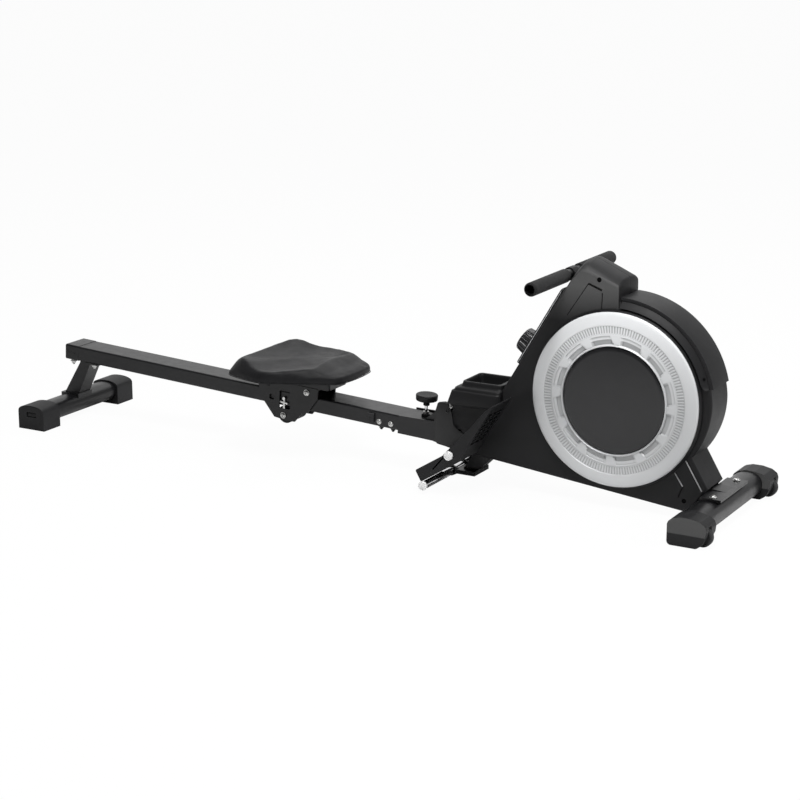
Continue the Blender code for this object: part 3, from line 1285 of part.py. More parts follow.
def make_seat_plate():
    """The steel pan that carries the level pad on the sloping carriage."""
    def deck_z(x, lift):
        return rail_point(x / cos(RAIL_TILT), DECK + lift).z

    rear, front = PAN_X
    low = GAP
    high = PAD_LOW - GAP
    outline = [(rear, deck_z(rear, low)), (front, deck_z(front, low)), (front, high), (rear, high)]
    pan = add("seat_plate", plate(outline, 2 * SKIRT_HALF), "black_steel", "seat_body")
    floor = low + PAN_WALL
    inside = [(rear + PAN_WALL, deck_z(rear, floor)), (front - PAN_WALL, deck_z(front, floor)),
              (front - PAN_WALL, high + 0.01), (rear + PAN_WALL, high + 0.01)]
    cut(pan, tool("pan_hollow", plate(inside, 2 * (SKIRT_HALF - PAN_WALL)), "seat_body"))


def closed_line(half, steps):
    """A smooth closed line through half an outline and its mirror image."""
    whole = [Vector(point) for point in half]
    whole += [Vector((x, -y, z)) for x, y, z in reversed(half[1:-1])]
    count = len(whole)
    found = []
    for index in range(count):
        before, start, end, after = (whole[(index + offset) % count] for offset in (-1, 0, 1, 2))
        for step in range(steps):
            t = step / steps
            found.append(0.5 * (2 * start + (end - before) * t
                                + (2 * before - 5 * start + 4 * end - after) * t ** 2
                                + (3 * start - before - 3 * end + after) * t ** 3))
    return found


def make_seat_pad():
    """A moulded seat with raised rear corners, a dished middle and drawn-in sides."""
    rim = closed_line([(x, y, PAD_RIM) for x, y in PAD_OUTLINE], 2)
    ridge = closed_line(PAD_RIDGE, 2)
    middle = Vector((sum(point.x for point in ridge) / len(ridge), 0, 0))
    rows = (
        # share from the rim to the ridge, inset towards the middle, height added
        (0.0, 0.070, PAD_LOW - PAD_RIM), (0.0, 0.020, PAD_LOW - PAD_RIM),
        (0.0, 0.000, 0.0028 + PAD_LOW - PAD_RIM), (0.0, 0.000, 0.0035),
        (0.30, -0.006, 0.0030), (0.70, -0.008, 0.0015), (0.96, -0.002, -0.0006), (1.0, 0.020, 0.0),
        (1.0, 0.070, -0.0010), (1.0, 0.200, -0.0050), (1.0, 0.420, -0.0095), (1.0, 0.680, -0.0125))
    rings = []
    for share, inwards, rise in rows:
        ring = []
        for low, high in zip(rim, ridge):
            point = low.lerp(high, share)
            level = point.z + rise
            if inwards > 0.1:
                level += (PAD_DISH - level) * inwards
            ring.append((point.x + (middle.x - point.x) * inwards, point.y * (1 - inwards), level))
        rings.append(ring)
    add("seat_pad", skin(rings), "vinyl", "seat_body")


# Assembly

def make_bodies():
    new_body("frame")
    seat = rail_point(SEAT_S, 0)
    pull = rail_point(PULL_X, 0)
    new_body("rail_body", FOLD_PIVOT[0], 0, FOLD_PIVOT[1])
    new_body("seat_body", *seat)
    new_body("pull_body", *pull)
    for name, (s, h, _) in ROLLERS.items():
        new_body(f"{name}_body", *rail_point(SEAT_S + s, h))
    for name, side in SIDES:
        new_body(f"wheel_body_{name}", WHEEL_CENTRE[0], side * WHEEL_CENTRE[1], WHEEL_CENTRE[2])
        new_body(f"pedal_body_{name}", PIVOT_ROD[0], side * sum(PEDAL_Y) / 2, PIVOT_ROD[1])
    new_body("handle_body", HANDLE[0], 0, HANDLE[1])
    new_body("flywheel_body", DRUM[0], 0, DRUM[1])
    new_body("pulley_body", REEL[0], 0, REEL[1])
    new_body("reel_body", REEL[0], 0, REEL[1])
    new_body("guide_body", GUIDE[0], 0, GUIDE[1])
    new_body("knob_body", *slope_point(KNOB_AT, 0))
    new_body("button_body", *slope_point(BUTTON[0], CONSOLE_THICKNESS))
    pivot = shoe_pivot()
    new_body("shoe_body", pivot[0], 0, pivot[1])


make_bodies()
make_rail()
make_rail_end_cap()
make_rear_leg()
make_rear_support()
make_front_support()
make_main_frame()
make_hinge_cradle()
make_middle_foot()
for side_name, side_sign in SIDES:
    make_housing(side_name, side_sign)
    make_trim_ring(side_name, side_sign)
    make_centre_disc(side_name, side_sign)
    make_pedal(side_name, side_sign)
make_drum_guard()
make_storage_tray()
make_console()
make_tension_knob()
make_strap()
make_handle()
make_flywheel()
make_drive_belt()
make_recoil_spring()
make_guide_roller()
make_brake()
make_tension_cable()
make_rods()
make_rail_stops()
make_pull_knob()
make_pivot_bolt()
make_saddle_bolts()
make_carriage()
make_rollers()
make_seat_plate()
make_seat_pad()
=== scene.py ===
"""The looks of a folding magnetic rowing machine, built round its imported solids.

Positions below are in metres. x runs forward from the rear stabilizer's tube, y to the rower's left and
z up from the floor; link_piece() moves the finished shapes to the machine's own origin.
"""

import json
from math import atan, atan2, copysign, cos, hypot, pi, radians, sin, tan

import bmesh
import bpy
import numpy as np
from bpy.props import FloatProperty, FloatVectorProperty, IntProperty, PointerProperty
from mathutils import Matrix, Vector


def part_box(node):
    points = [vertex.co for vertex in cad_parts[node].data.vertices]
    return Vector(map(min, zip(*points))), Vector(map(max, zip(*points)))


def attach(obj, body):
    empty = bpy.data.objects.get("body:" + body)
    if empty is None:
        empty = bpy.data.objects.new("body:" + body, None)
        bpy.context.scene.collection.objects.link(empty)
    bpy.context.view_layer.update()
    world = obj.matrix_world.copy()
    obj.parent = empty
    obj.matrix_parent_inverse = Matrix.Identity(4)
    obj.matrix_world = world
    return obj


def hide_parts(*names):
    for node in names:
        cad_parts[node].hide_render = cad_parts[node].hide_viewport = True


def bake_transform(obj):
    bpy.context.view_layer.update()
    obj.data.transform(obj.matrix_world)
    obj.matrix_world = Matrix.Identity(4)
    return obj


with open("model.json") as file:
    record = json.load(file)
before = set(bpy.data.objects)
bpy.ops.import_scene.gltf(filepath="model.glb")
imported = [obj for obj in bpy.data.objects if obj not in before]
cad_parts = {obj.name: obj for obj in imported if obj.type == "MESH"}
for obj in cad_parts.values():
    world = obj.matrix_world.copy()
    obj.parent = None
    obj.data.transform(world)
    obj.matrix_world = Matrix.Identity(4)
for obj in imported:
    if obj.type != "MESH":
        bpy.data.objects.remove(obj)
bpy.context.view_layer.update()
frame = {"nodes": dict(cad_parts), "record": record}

bl_info = {
    "name": "Rowing Machine Finish",
    "version": (1, 0, 0),
    "blender": (4, 5, 0),
    "location": "3D View > Sidebar > Rower",
    "description": "Builds the visible pieces of a magnetic rowing machine round its solids",
    "category": "Object",
}

SIDES = (("right", -1), ("left", 1))
SHARP = 38      # degrees between two faces from which their edge stays sharp

# Places and sizes shared with the solids

REAR_TUBE_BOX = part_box("rear_stabilizer_tube")
MIDDLE = -(REAR_TUBE_BOX[0].x + REAR_TUBE_BOX[1].x) / 2     # the rear tube's distance behind the origin
GAP = 0.0003

RAIL_WIDTH = 0.0795
RAIL_HEIGHT = 0.0400
RAIL_TOP = 0.2059
RAIL_SLOPE = 0.0582
RAIL_TILT = atan(RAIL_SLOPE)
PIN_AT = 1.110              # the pull knob, along the rail

DRUM = (1.6457, 0.2672)
DRUM_RADIUS = 0.238
HOUSING_HALF = 0.052
HEAD_HALF = 0.058
WALL = 0.003
SLOPE_FOOT = (1.367, 0.284)
SLOPE_ANGLE = 59.2
CONSOLE = (0.036, 0.262)    # its ends, up the sloping face
CONSOLE_FACE = 0.0103
DIAL_AT, BUTTON_AT, SCREEN_AT = 0.083, 0.143, 0.193

HANDLE = (1.501, 0.5456)
BAR_HALF = 0.457 / 2
BAR_BORE = 0.0128
PIVOT_ROD = (1.2702, 0.1075)
STOP_ROD = (1.2004, 0.0215)

TUBE_HEIGHT = 0.0365
TUBE_WALL = 0.0018
CAPS_OVER_TUBE = 0.0086     # how much longer a stabilizer's caps reach than its tube
REAR_SPAN = 0.400
FRONT_SPAN = 0.483
FRONT_X = 1.895
WHEEL_RADIUS = 0.024
WHEEL_HALF = 0.009

COLOURS = {entry["slot"]: tuple(entry["base_color"]) for entry in frame["record"]["materials"]}


# Sizes and colours that a user would change

class RowerSizes(bpy.types.PropertyGroup):
    ring_ticks: IntProperty(name="Ring ticks", description="Radial ticks round each trim ring",
                            default=156, min=60, max=240)
    ring_windows: IntProperty(name="Ring windows", description="Recessed windows round each trim ring",
                              default=12, min=4, max=24)
    knob_ribs: IntProperty(name="Knob ribs", description="Finger ribs round the tension knob",
                           default=20, min=8, max=36)
    tread_ribs: IntProperty(name="Pedal ribs", description="Cross ribs on each foot pedal",
                            default=9, min=3, max=16)
    seam_width: FloatProperty(name="Seam width", description="Width of the moulded seam lines",
                              default=0.0009, unit="LENGTH")
    seat_swell: FloatProperty(name="Seat swell", description="Furthest that the filling pushes the cover",
                              default=0.0014, unit="LENGTH")
    floor_size: FloatProperty(name="Floor size", description="Side of the pale studio floor",
                              default=40.0, unit="LENGTH")


class RowerColours(bpy.types.PropertyGroup):
    steel: FloatVectorProperty(name="Steel", description="Powder coat on the steel pieces",
                               subtype="COLOR", default=COLOURS["black_steel"])
    plastic: FloatVectorProperty(name="Plastic", description="Moulded black plastic",
                                 subtype="COLOR", default=COLOURS["black_plastic"])
    ring: FloatVectorProperty(name="Trim ring", description="Silver paint on the trim rings",
                              subtype="COLOR", default=COLOURS["silver_plastic"])
    cover: FloatVectorProperty(name="Seat cover", description="Grained covering of the seat",
                               subtype="COLOR", default=COLOURS["vinyl"])
    floor: FloatVectorProperty(name="Floor", description="Studio floor", subtype="COLOR",
                               default=(0.82, 0.82, 0.82))


# Outlines

def arc(centre, radius, start, end, steps):
    """Points on a circle from one angle to another, both ends included."""
    found = []
    for step in range(steps + 1):
        angle = radians(start + (end - start) * step / steps)
        found.append((centre[0] + radius * cos(angle), centre[1] + radius * sin(angle)))
    return found


def full(value, power):
    """A sine or cosine raised to a power below one, which squares up a round outline."""
    return copysign(abs(value) ** power, value)


def oval(centre, width, height, steps=96, power=0.85):
    """An oval tube's section: flatter than an ellipse, with full shoulders."""
    angles = (2 * pi * step / steps for step in range(steps))
    return [(centre[0] + width / 2 * full(cos(angle), power), centre[1] + height / 2 * full(sin(angle), power))
            for angle in angles]


def rectangle(left, right, low, high):
    return [(left, low), (right, low), (right, high), (left, high)]


def rounded(corners, radius, steps=6):
    """The outline with an arc in place of each corner that isn't nearly straight."""
    straight, longest = radians(176), 0.45      # longest: an arc's share of the sides that it joins
    found = []
    count = len(corners)
    for index in range(count):
        corner = Vector(corners[index])
        back = Vector(corners[index - 1]) - corner
        ahead = Vector(corners[(index + 1) % count]) - corner
        opening = back.angle(ahead)
        if opening > straight:
            found.append(tuple(corner))
            continue
        run = min(radius / tan(opening / 2), longest * back.length, longest * ahead.length)
        reach = run * tan(opening / 2)
        centre = corner + (back.normalized() + ahead.normalized()).normalized() * hypot(run, reach)
        first = corner + back.normalized() * run - centre
        last = corner + ahead.normalized() * run - centre
        start = atan2(first.y, first.x)
        sweep = (atan2(last.y, last.x) - start + pi) % (2 * pi) - pi
        for step in range(steps + 1):
            angle = start + sweep * step / steps
            found.append((centre.x + reach * cos(angle), centre.y + reach * sin(angle)))
    return found


def inset(corners, distance, sharpest=0.3):
    """An anticlockwise outline moved inwards; its sharpest corners move less than they would."""
    found = []
    count = len(corners)
    for index in range(count):
        here = Vector(corners[index])
        before = (here - Vector(corners[index - 1])).normalized()
        after = (Vector(corners[(index + 1) % count]) - here).normalized()
        inwards = Vector((-before.y - after.y, before.x + after.x)).normalized()
        share = max(inwards.dot(Vector((-before.y, before.x))), sharpest)
        moved = here + inwards * distance / share
        found.append((moved.x, moved.y))
    return found


def oblong(first, second, radius, steps=10):
    """A straight slot or link with round ends."""
    heading = atan2(second[1] - first[1], second[0] - first[0]) * 180 / pi
    return (arc(second, radius, heading - 90, heading + 90, steps)
            + arc(first, radius, heading + 90, heading + 270, steps))


def ribbon(points, width):
    """The outline of a line of some width, for a groove or a bead."""
    left, right = [], []
    for index, point in enumerate(points):
        here = Vector(point)
        before = (here - Vector(points[index - 1])).normalized() if index else None
        after = (Vector(points[index + 1]) - here).normalized() if index < len(points) - 1 else None
        along = ((before or after) + (after or before)).normalized()
        across = Vector((-along.y, along.x)) * width / 2
        left.append(tuple(here + across))
        right.append(tuple(here - across))
    return right + list(reversed(left))


# Frames of reference

def rail_point(s, h, y=0.0):
    """A point s along the rail's top from the rear tube and h above it."""
    return Vector((s * cos(RAIL_TILT) + h * sin(RAIL_TILT), y,
                   RAIL_TOP - s * sin(RAIL_TILT) + h * cos(RAIL_TILT)))


def slope_point(t, out, y=0.0):
    """A point t up the housing's sloping face and some way out of it."""
    lean = radians(SLOPE_ANGLE)
    return Vector((SLOPE_FOOT[0] + t * cos(lean) - out * sin(lean), y,
                   SLOPE_FOOT[1] + t * sin(lean) + out * cos(lean)))


def slope_x(z):
    """The sloping face's x at a height."""
    return SLOPE_FOOT[0] + (z - SLOPE_FOOT[1]) / tan(radians(SLOPE_ANGLE))


def bottom_z(x):
    """The housing's lower edge."""
    return 0.0726 - 0.107 * (x - 1.3148)


def turned_to(place, angles=(0, 0, 0)):
    """A place and three turns, in degrees, as a matrix."""
    turns = (Matrix.Rotation(radians(angle), 4, axis) for angle, axis in zip(angles, "XYZ"))
    matrix = Matrix.Identity(4)
    for turn in turns:
        matrix = turn @ matrix
    return Matrix.Translation(Vector(place)) @ matrix


def on_rail(s, h, y=0.0):
    return turned_to(rail_point(s, h, y), (0, RAIL_TILT * 180 / pi, 0))


def on_slope(t, out, y=0.0):
    """Local X climbs the sloping face and local Z points out of it."""
    return turned_to(slope_point(t, out, y), (0, -SLOPE_ANGLE, 0))


def out_of_side(side, place=(0, 0, 0)):
    """Local Z points out of the machine's right or left side."""
    return turned_to(place, (-90 * side, 0, 0))


UPSIDE_DOWN = turned_to((0, 0, 0), (180, 0, 0))


def middle_of(node):
    """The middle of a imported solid, from the rear tube's origin."""
    low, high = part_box(node)
    return (low + high) / 2 + Vector((MIDDLE, 0, 0))


# Solid shapes, as bmeshes

def lofted(rows, caps=True):
    """A skin over closed rings of points that all have the same count."""
    shape = bmesh.new()
    rings = [[shape.verts.new(point) for point in row] for row in rows]
    for lower, upper in zip(rings, rings[1:]):
        for step in range(len(lower)):
            after = (step + 1) % len(lower)
            shape.faces.new((lower[step], lower[after], upper[after], upper[step]))
    if caps:
        shape.faces.new(rings[-1])
        shape.faces.new(list(reversed(rings[0])))
    return shape


def plate(outline, low, high, edge=0.0, steps=3, axis="Y"):
    """A plate between two levels, with both rims rounded.

    Its outline is in X-Z, or in X-Y for axis Z.
    """
    outline = anticlockwise(outline)
    rows = []
    levels = [(step, low, 1) for step in range(steps + 1)]
    levels += [(step, high, -1) for step in range(steps, -1, -1)]
    if edge <= 0:
        levels = [(0, low, 0), (0, high, 0)]
    for step, level, away in levels:
        angle = pi / 2 * step / steps
        line = inset(outline, edge * (1 - sin(angle))) if edge > 0 and step < steps else outline
        depth = level + away * edge * (1 - cos(angle))
        rows.append([(u, depth, v) if axis == "Y" else (u, v, depth) for u, v in line])
    return lofted(rows)


def slab(outline, side, near, far, edge=0.0, steps=3):
    """A plate between two distances from the middle, on one side of the machine."""
    return plate(outline, *sorted((side * near, side * far)), edge, steps)


def flat(outline, low, high, edge=0.0, steps=1):
    """A plate that lies across local Z."""
    return plate(outline, low, high, edge, steps, "Z")


def anticlockwise(outline):
    area = sum(a[0] * b[1] - b[0] * a[1] for a, b in zip(outline, outline[1:] + outline[:1]))
    return list(outline) if area > 0 else list(reversed(outline))


def turned(profile, steps=64, closed=False):
    """A shape turned round local Z from (radius, height) points; closed ones don't end on the axis."""
    shape = bmesh.new()
    rows = []
    for radius, height in profile:
        ring = circle_points(radius, height, steps) if radius > 1e-6 else [(0, 0, height)]
        rows.append([shape.verts.new(point) for point in ring])
    pairs = list(zip(rows, rows[1:]))
    if closed:
        pairs.append((rows[-1], rows[0]))
    for lower, upper in pairs:
        for step in range(steps):
            after = (step + 1) % steps
            corners = [lower[step % len(lower)], lower[after % len(lower)],
                       upper[after % len(upper)], upper[step % len(upper)]]
            unlike = [corner for index, corner in enumerate(corners) if corner not in corners[:index]]
            if len(unlike) > 2:
                shape.faces.new(unlike)
    return shape


def circle_points(radius, height, steps):
    angles = (2 * pi * step / steps for step in range(steps))
    return [(radius * cos(angle), radius * sin(angle), height) for angle in angles]


def pin(radius, low, high, steps):
    """A round bar about local Z."""
    return turned([(0, low), (radius, low), (radius, high), (0, high)], steps)


def softened(profile, radius, steps=4):
    """A turned profile with its corners rounded, except where it meets the axis."""
    found = [profile[0]]
    for before, corner, after in zip(profile, profile[1:], profile[2:]):
        triple = rounded([before, corner, after], radius, steps)
        found.extend(triple[steps + 1:2 * steps + 2] if len(triple) > 3 else [corner])
    found.append(profile[-1])
    return found


def joined(*shapes):
    """Several bmeshes as one."""
    whole = bmesh.new()
    for shape in shapes:
        mesh = bpy.data.meshes.new("joined")
        shape.to_mesh(mesh)
        shape.free()
        whole.from_mesh(mesh)
        bpy.data.meshes.remove(mesh)
    return whole


def moved(shape, matrix):
    shape.transform(matrix)
    return shape


def hexagon(across_flats, low, high, chamfer=0.0006):
    """A nut or bolt head about local Z."""
    reach = across_flats / 2 / cos(pi / 6)
    outline = arc((0, 0), reach, 0, 300, 5)
    return flat(outline, low, high, chamfer)


# Pieces

def mesh_of(shape, name):
    bmesh.ops.recalc_face_normals(shape, faces=shape.faces)
    mesh = bpy.data.meshes.new(name)
    shape.to_mesh(mesh)
    shape.free()
    return mesh


def link_piece(name, shape, smooth=SHARP):
    """A smooth-shaded object from a bmesh, moved from the rear tube's origin to the machine's."""
    mesh = mesh_of(shape, name)
    mesh.transform(Matrix.Translation((-MIDDLE, 0, 0)))
    mesh.shade_smooth()
    mesh.set_sharp_from_angle(angle=radians(smooth))
    piece = bpy.data.objects.new(name, mesh)
    bpy.context.scene.collection.objects.link(piece)
    return piece


def carve(piece, *cutters, operation="DIFFERENCE"):
    """Cuts or joins other shapes, for good."""
    tools = [link_piece(f"{piece.name}_tool", cutter) for cutter in cutters]
    for tool in tools:
        step = piece.modifiers.new("carve", "BOOLEAN")
        step.operation = operation
        step.object = tool
        step.solver = "EXACT"
    bpy.context.view_layer.update()
    mesh = bpy.data.meshes.new_from_object(piece.evaluated_get(bpy.context.evaluated_depsgraph_get()))
    piece.modifiers.clear()
    old, piece.data = piece.data, mesh
    bpy.data.meshes.remove(old)
    for tool in tools:
        bpy.data.objects.remove(tool)
    mesh.shade_smooth()
    mesh.set_sharp_from_angle(angle=radians(SHARP))
    even = piece.modifiers.new("even_normals", "WEIGHTED_NORMAL")
    even.keep_sharp = True
    return piece


def dress(piece, body, slot, replaces=(), material=None):
    """Gives a piece its finish, its body and the solids that it stands for."""
    piece.data.materials.clear()
    piece.data.materials.append(finish(material or slot))
    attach(piece, body)
    if replaces:
        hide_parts(*replaces)
    return piece


def put(name, shape, body, slot, replaces=(), material=None, smooth=SHARP, cutters=()):
    """A finished piece from a bmesh, with what is cut out of it."""
    piece = link_piece(name, shape, smooth)
    if cutters:
        carve(piece, *cutters)
    return dress(piece, body, slot, replaces, material)
def soften(piece, width):
    """Rounds the edges where faces meet at over 50 degrees."""
    bevel = piece.modifiers.new("rounded_edges", "BEVEL")
    bevel.width = width
    bevel.segments = 2
    bevel.limit_method = "ANGLE"
    bevel.angle_limit = radians(50)
    bevel.harden_normals = True


def smooth_by_angle():
    """A node group that shades a solid smooth but for its sharp edges."""
    name = "smooth_by_angle"
    if name in bpy.data.node_groups:
        return bpy.data.node_groups[name]
    group = bpy.data.node_groups.new(name, "GeometryNodeTree")
    group.interface.new_socket("Geometry", in_out="INPUT", socket_type="NodeSocketGeometry")
    group.interface.new_socket("Geometry", in_out="OUTPUT", socket_type="NodeSocketGeometry")
    start = group.nodes.new("NodeGroupInput")
    end = group.nodes.new("NodeGroupOutput")
    angle = group.nodes.new("GeometryNodeInputMeshEdgeAngle")
    sharp = group.nodes.new("FunctionNodeCompare")
    sharp.data_type = "FLOAT"
    sharp.operation = "GREATER_THAN"
    sharp.inputs["B"].default_value = radians(32)
    faces = group.nodes.new("GeometryNodeSetShadeSmooth")
    edges = group.nodes.new("GeometryNodeSetShadeSmooth")
    edges.domain = "EDGE"
    edges.inputs["Shade Smooth"].default_value = False
    group.links.new(start.outputs[0], faces.inputs["Geometry"])
    group.links.new(faces.outputs[0], edges.inputs["Geometry"])
    group.links.new(angle.outputs[0], sharp.inputs["A"])
    group.links.new(sharp.outputs[0], edges.inputs["Selection"])
    group.links.new(edges.outputs[0], end.inputs[0])
    return group


def carry_over(slot, *names, edge=0.0004, material=None):
    """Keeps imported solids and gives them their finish, smooth faces and fine rounded edges."""
    for name in names:
        node = frame["nodes"][name]
        node.data.materials.clear()
        node.data.materials.append(finish(material or slot))
        shade = node.modifiers.new("smooth", "NODES")
        shade.node_group = smooth_by_angle()
        if edge:
            soften(node, edge)


# Materials

FINISHES = {}


def finish(name):
    """The material for a finish, made the first time that it is asked for."""
    if name not in FINISHES:
        FINISHES[name] = MAKERS[name]() if name in MAKERS else plain_finish(**LOOKS[name])
    return FINISHES[name]


def colour_of(slot):
    """A slot's colour, as the user sets it or else as the record has it."""
    group = bpy.context.scene.rower_colours
    chosen = {"black_steel": group.steel, "black_plastic": group.plastic, "silver_plastic": group.ring,
              "vinyl": group.cover}
    return tuple(chosen.get(slot, COLOURS[slot]))


def base_material(name, colour, metallic, roughness, specular=0.5):
    material = bpy.data.materials.new(name)
    material.use_nodes = True
    shader = material.node_tree.nodes["Principled BSDF"]
    shader.inputs["Base Color"].default_value = (*colour, 1)
    shader.inputs["Metallic"].default_value = metallic
    shader.inputs["Roughness"].default_value = roughness
    shader.inputs["Specular IOR Level"].default_value = specular
    return material, material.node_tree, shader


def coordinates(tree, stretch=(1, 1, 1)):
    source = tree.nodes.new("ShaderNodeTexCoord")
    mapping = tree.nodes.new("ShaderNodeMapping")
    mapping.inputs["Scale"].default_value = stretch
    tree.links.new(source.outputs["Object"], mapping.inputs["Vector"])
    return mapping.outputs["Vector"]


def grain(tree, scale, detail, stretch=(1, 1, 1)):
    """Noise, as a value round one half."""
    texture = tree.nodes.new("ShaderNodeTexNoise")
    texture.inputs["Scale"].default_value = scale
    texture.inputs["Detail"].default_value = detail
    tree.links.new(coordinates(tree, stretch), texture.inputs["Vector"])
    return texture.outputs[0]


def pebbles(tree, scale, feature="F1"):
    """Rounded cells, as the distance from their middles or edges."""
    texture = tree.nodes.new("ShaderNodeTexVoronoi")
    texture.feature = feature
    texture.inputs["Scale"].default_value = scale
    tree.links.new(coordinates(tree), texture.inputs["Vector"])
    return texture.outputs["Distance"]


def creases(tree, scale):
    """The fine valleys between the cells of a grained cover."""
    return ranged(tree, pebbles(tree, scale, "DISTANCE_TO_EDGE"), 0.0, 1.0, 0.0, 0.18)


def waves(tree, scale, direction):
    texture = tree.nodes.new("ShaderNodeTexWave")
    texture.wave_profile = "SIN"
    texture.bands_direction = direction
    texture.inputs["Scale"].default_value = scale
    tree.links.new(coordinates(tree), texture.inputs["Vector"])
    return texture.outputs["Fac"]


def ranged(tree, value, low, high, start=0.25, end=0.75, clamp=True):
    """A texture's value stretched to a range."""
    node = tree.nodes.new("ShaderNodeMapRange")
    node.clamp = clamp
    tree.links.new(value, node.inputs["Value"])
    node.inputs["From Min"].default_value = start
    node.inputs["From Max"].default_value = end
    node.inputs["To Min"].default_value = low
    node.inputs["To Max"].default_value = high
    return node.outputs["Result"]


def mixed(tree, share, first, second):
    """A colour between two others, each of them a colour or another node's output."""
    node = tree.nodes.new("ShaderNodeMix")
    node.data_type = "RGBA"
    tree.links.new(share, node.inputs["Factor"])
    for socket, colour in ((node.inputs[6], first), (node.inputs[7], second)):
        if isinstance(colour, tuple):
            socket.default_value = (*colour, 1)
        else:
            tree.links.new(colour, socket)
    return node.outputs[2]


def maths(tree, operation, *values):
    """One step of arithmetic on numbers and other nodes' outputs."""
    node = tree.nodes.new("ShaderNodeMath")
    node.operation = operation
    for socket, value in zip(node.inputs, values):
        if isinstance(value, float):
            socket.default_value = value
        else:
            tree.links.new(value, socket)
    return node.outputs[0]


def part_of(tree, vector, axis):
    """One axis of a vector."""
    node = tree.nodes.new("ShaderNodeSeparateXYZ")
    tree.links.new(vector, node.inputs["Vector"])
    return node.outputs[axis]


def raised(tree, shader, height, depth, strength, under=None):
    """Adds fine relief, some metres deep, over any relief that is there already."""
    node = tree.nodes.new("ShaderNodeBump")
    node.inputs["Distance"].default_value = depth
    node.inputs["Strength"].default_value = strength
    tree.links.new(height, node.inputs["Height"])
    if under:
        tree.links.new(under, node.inputs["Normal"])
    tree.links.new(node.outputs["Normal"], shader.inputs["Normal"])
    return node.outputs["Normal"]


def scaled(colour, share):
    return tuple(min(1.0, channel * share) for channel in colour)


def pointiness(tree, low, high, start, end):
    """How sharply the surface is bent, outwards or inwards."""
    shape = tree.nodes.new("ShaderNodeNewGeometry")
    return ranged(tree, shape.outputs["Pointiness"], low, high, start, end)


def painted_light_share(tree, bottom, top):
    """Where light is painted: one on the upright sides above a height, fading out below it and on every other
    face.
    """
    place = tree.nodes.new("ShaderNodeTexCoord")
    height = maths(tree, "ABSOLUTE", part_of(tree, place.outputs["Object"], "Z"))
    facing = maths(tree, "ABSOLUTE", part_of(tree, place.outputs["Normal"], "Y"))
    return maths(tree, "MULTIPLY", ranged(tree, height, 0.0, 1.0, bottom, top),
                 ranged(tree, facing, 0.0, 1.0, 0.55, 0.95))


def painted_ring_light(tree):
    """Painted light on the ring: brightest at its top, less at its foot and least at its sides, as the light
    falls.
    """
    place = tree.nodes.new("ShaderNodeTexCoord")
    height = ranged(tree, part_of(tree, place.outputs["Object"], "Z"), -1.0, 1.0,
                    DRUM[1] - 0.2, DRUM[1] + 0.2, clamp=False)
    ends = maths(tree, "MULTIPLY_ADD", maths(tree, "MULTIPLY", height, height), 0.42, 0.33)
    return maths(tree, "MULTIPLY_ADD", height, 0.24, ends)


def coloured(tree, shader, tone):
    tree.links.new(tone, shader.inputs["Base Color"])


def glossed(tree, shader, texture, low, high):
    """Uneven roughness between two values."""
    tree.links.new(ranged(tree, texture, low, high), shader.inputs["Roughness"])


def plain_finish(name, slot, basis, gloss, relief, share=1.0, cloud=None, worn=None, painted_flank_light=None,
                 extras=None):
    """A finish of clouded colour, uneven gloss and fine relief, as LOOKS describes it, with painted light on
    its upright flanks where LOOKS asks for it.
    """
    colour = scaled(colour_of(slot), share) if share != 1.0 else colour_of(slot)
    material, tree, shader = base_material(name, colour, *basis)
    if cloud:
        texture, dark, light = cloud
        clouds = ranged(tree, grain(tree, *texture), 0.0, 1.0)
        tone = mixed(tree, clouds, scaled(colour, dark), scaled(colour, light))
        if worn:
            tone = mixed(tree, pointiness(tree, 0.0, 1.0, 0.52, 0.60), tone, scaled(colour, worn))
        # Painted light: the upright flanks above a height are painted paler, standing for the light that falls
        # on them.
        if painted_flank_light:
            light, bottom, top = painted_flank_light
            grey = light * sum(colour) / 3
            tone = mixed(tree, painted_light_share(tree, bottom, top), tone, (grey, grey, grey))
        coloured(tree, shader, tone)
    texture, low, high = gloss
    glossed(tree, shader, grain(tree, *texture), low, high)
    under = None
    for texture, details, depth, strength in relief:
        under = raised(tree, shader, texture(tree, *details), depth, strength, under)
    for socket, value in (extras or {}).items():
        shader.inputs[socket].default_value = value
    return material


def silver_paint():
    """Metallic paint with painted light: paler at the ring's top and painted shade in its hollows."""
    colour = colour_of("silver_plastic")
    material, tree, shader = base_material("silver_paint", colour, 0.15, 0.4, 0.5)
    flake = ranged(tree, pebbles(tree, 2600.0), 0.0, 1.0, 0.1, 0.7)
    bright = mixed(tree, flake, scaled(colour, 1.20), scaled(colour, 1.32))
    # Painted light: the paint is brighter towards the ring's top and foot, darker at its sides.
    tone = mixed(tree, painted_ring_light(tree), scaled(colour, 0.46), bright)
    # Painted shade: hollows such as the tick grooves are painted darker, where shade falls.
    hollow = pointiness(tree, 1.0, 0.0, 0.44, 0.50)
    coloured(tree, shader, mixed(tree, hollow, tone, scaled(colour, 0.42)))
    glossed(tree, shader, grain(tree, 30.0, 4.0), 0.36, 0.44)
    raised(tree, shader, grain(tree, 1600.0, 2.0), 0.00002, 0.5)
    return material


def woven_strap():
    colour = COLOURS["webbing"]
    material, tree, shader = base_material("woven_strap", colour, 0.0, 0.78, 0.3)
    weave = maths(tree, "MULTIPLY", waves(tree, 160.0, "Y"), waves(tree, 110.0, "X"))
    share = ranged(tree, weave, 0.0, 1.0, 0.1, 0.8)
    coloured(tree, shader, mixed(tree, share, scaled(colour, 0.6), scaled(colour, 1.8)))
    glossed(tree, shader, grain(tree, 500.0, 3.0), 0.7, 0.9)
    shader.inputs["Sheen Weight"].default_value = 0.2
    raised(tree, shader, weave, 0.00025, 0.9)
    return material


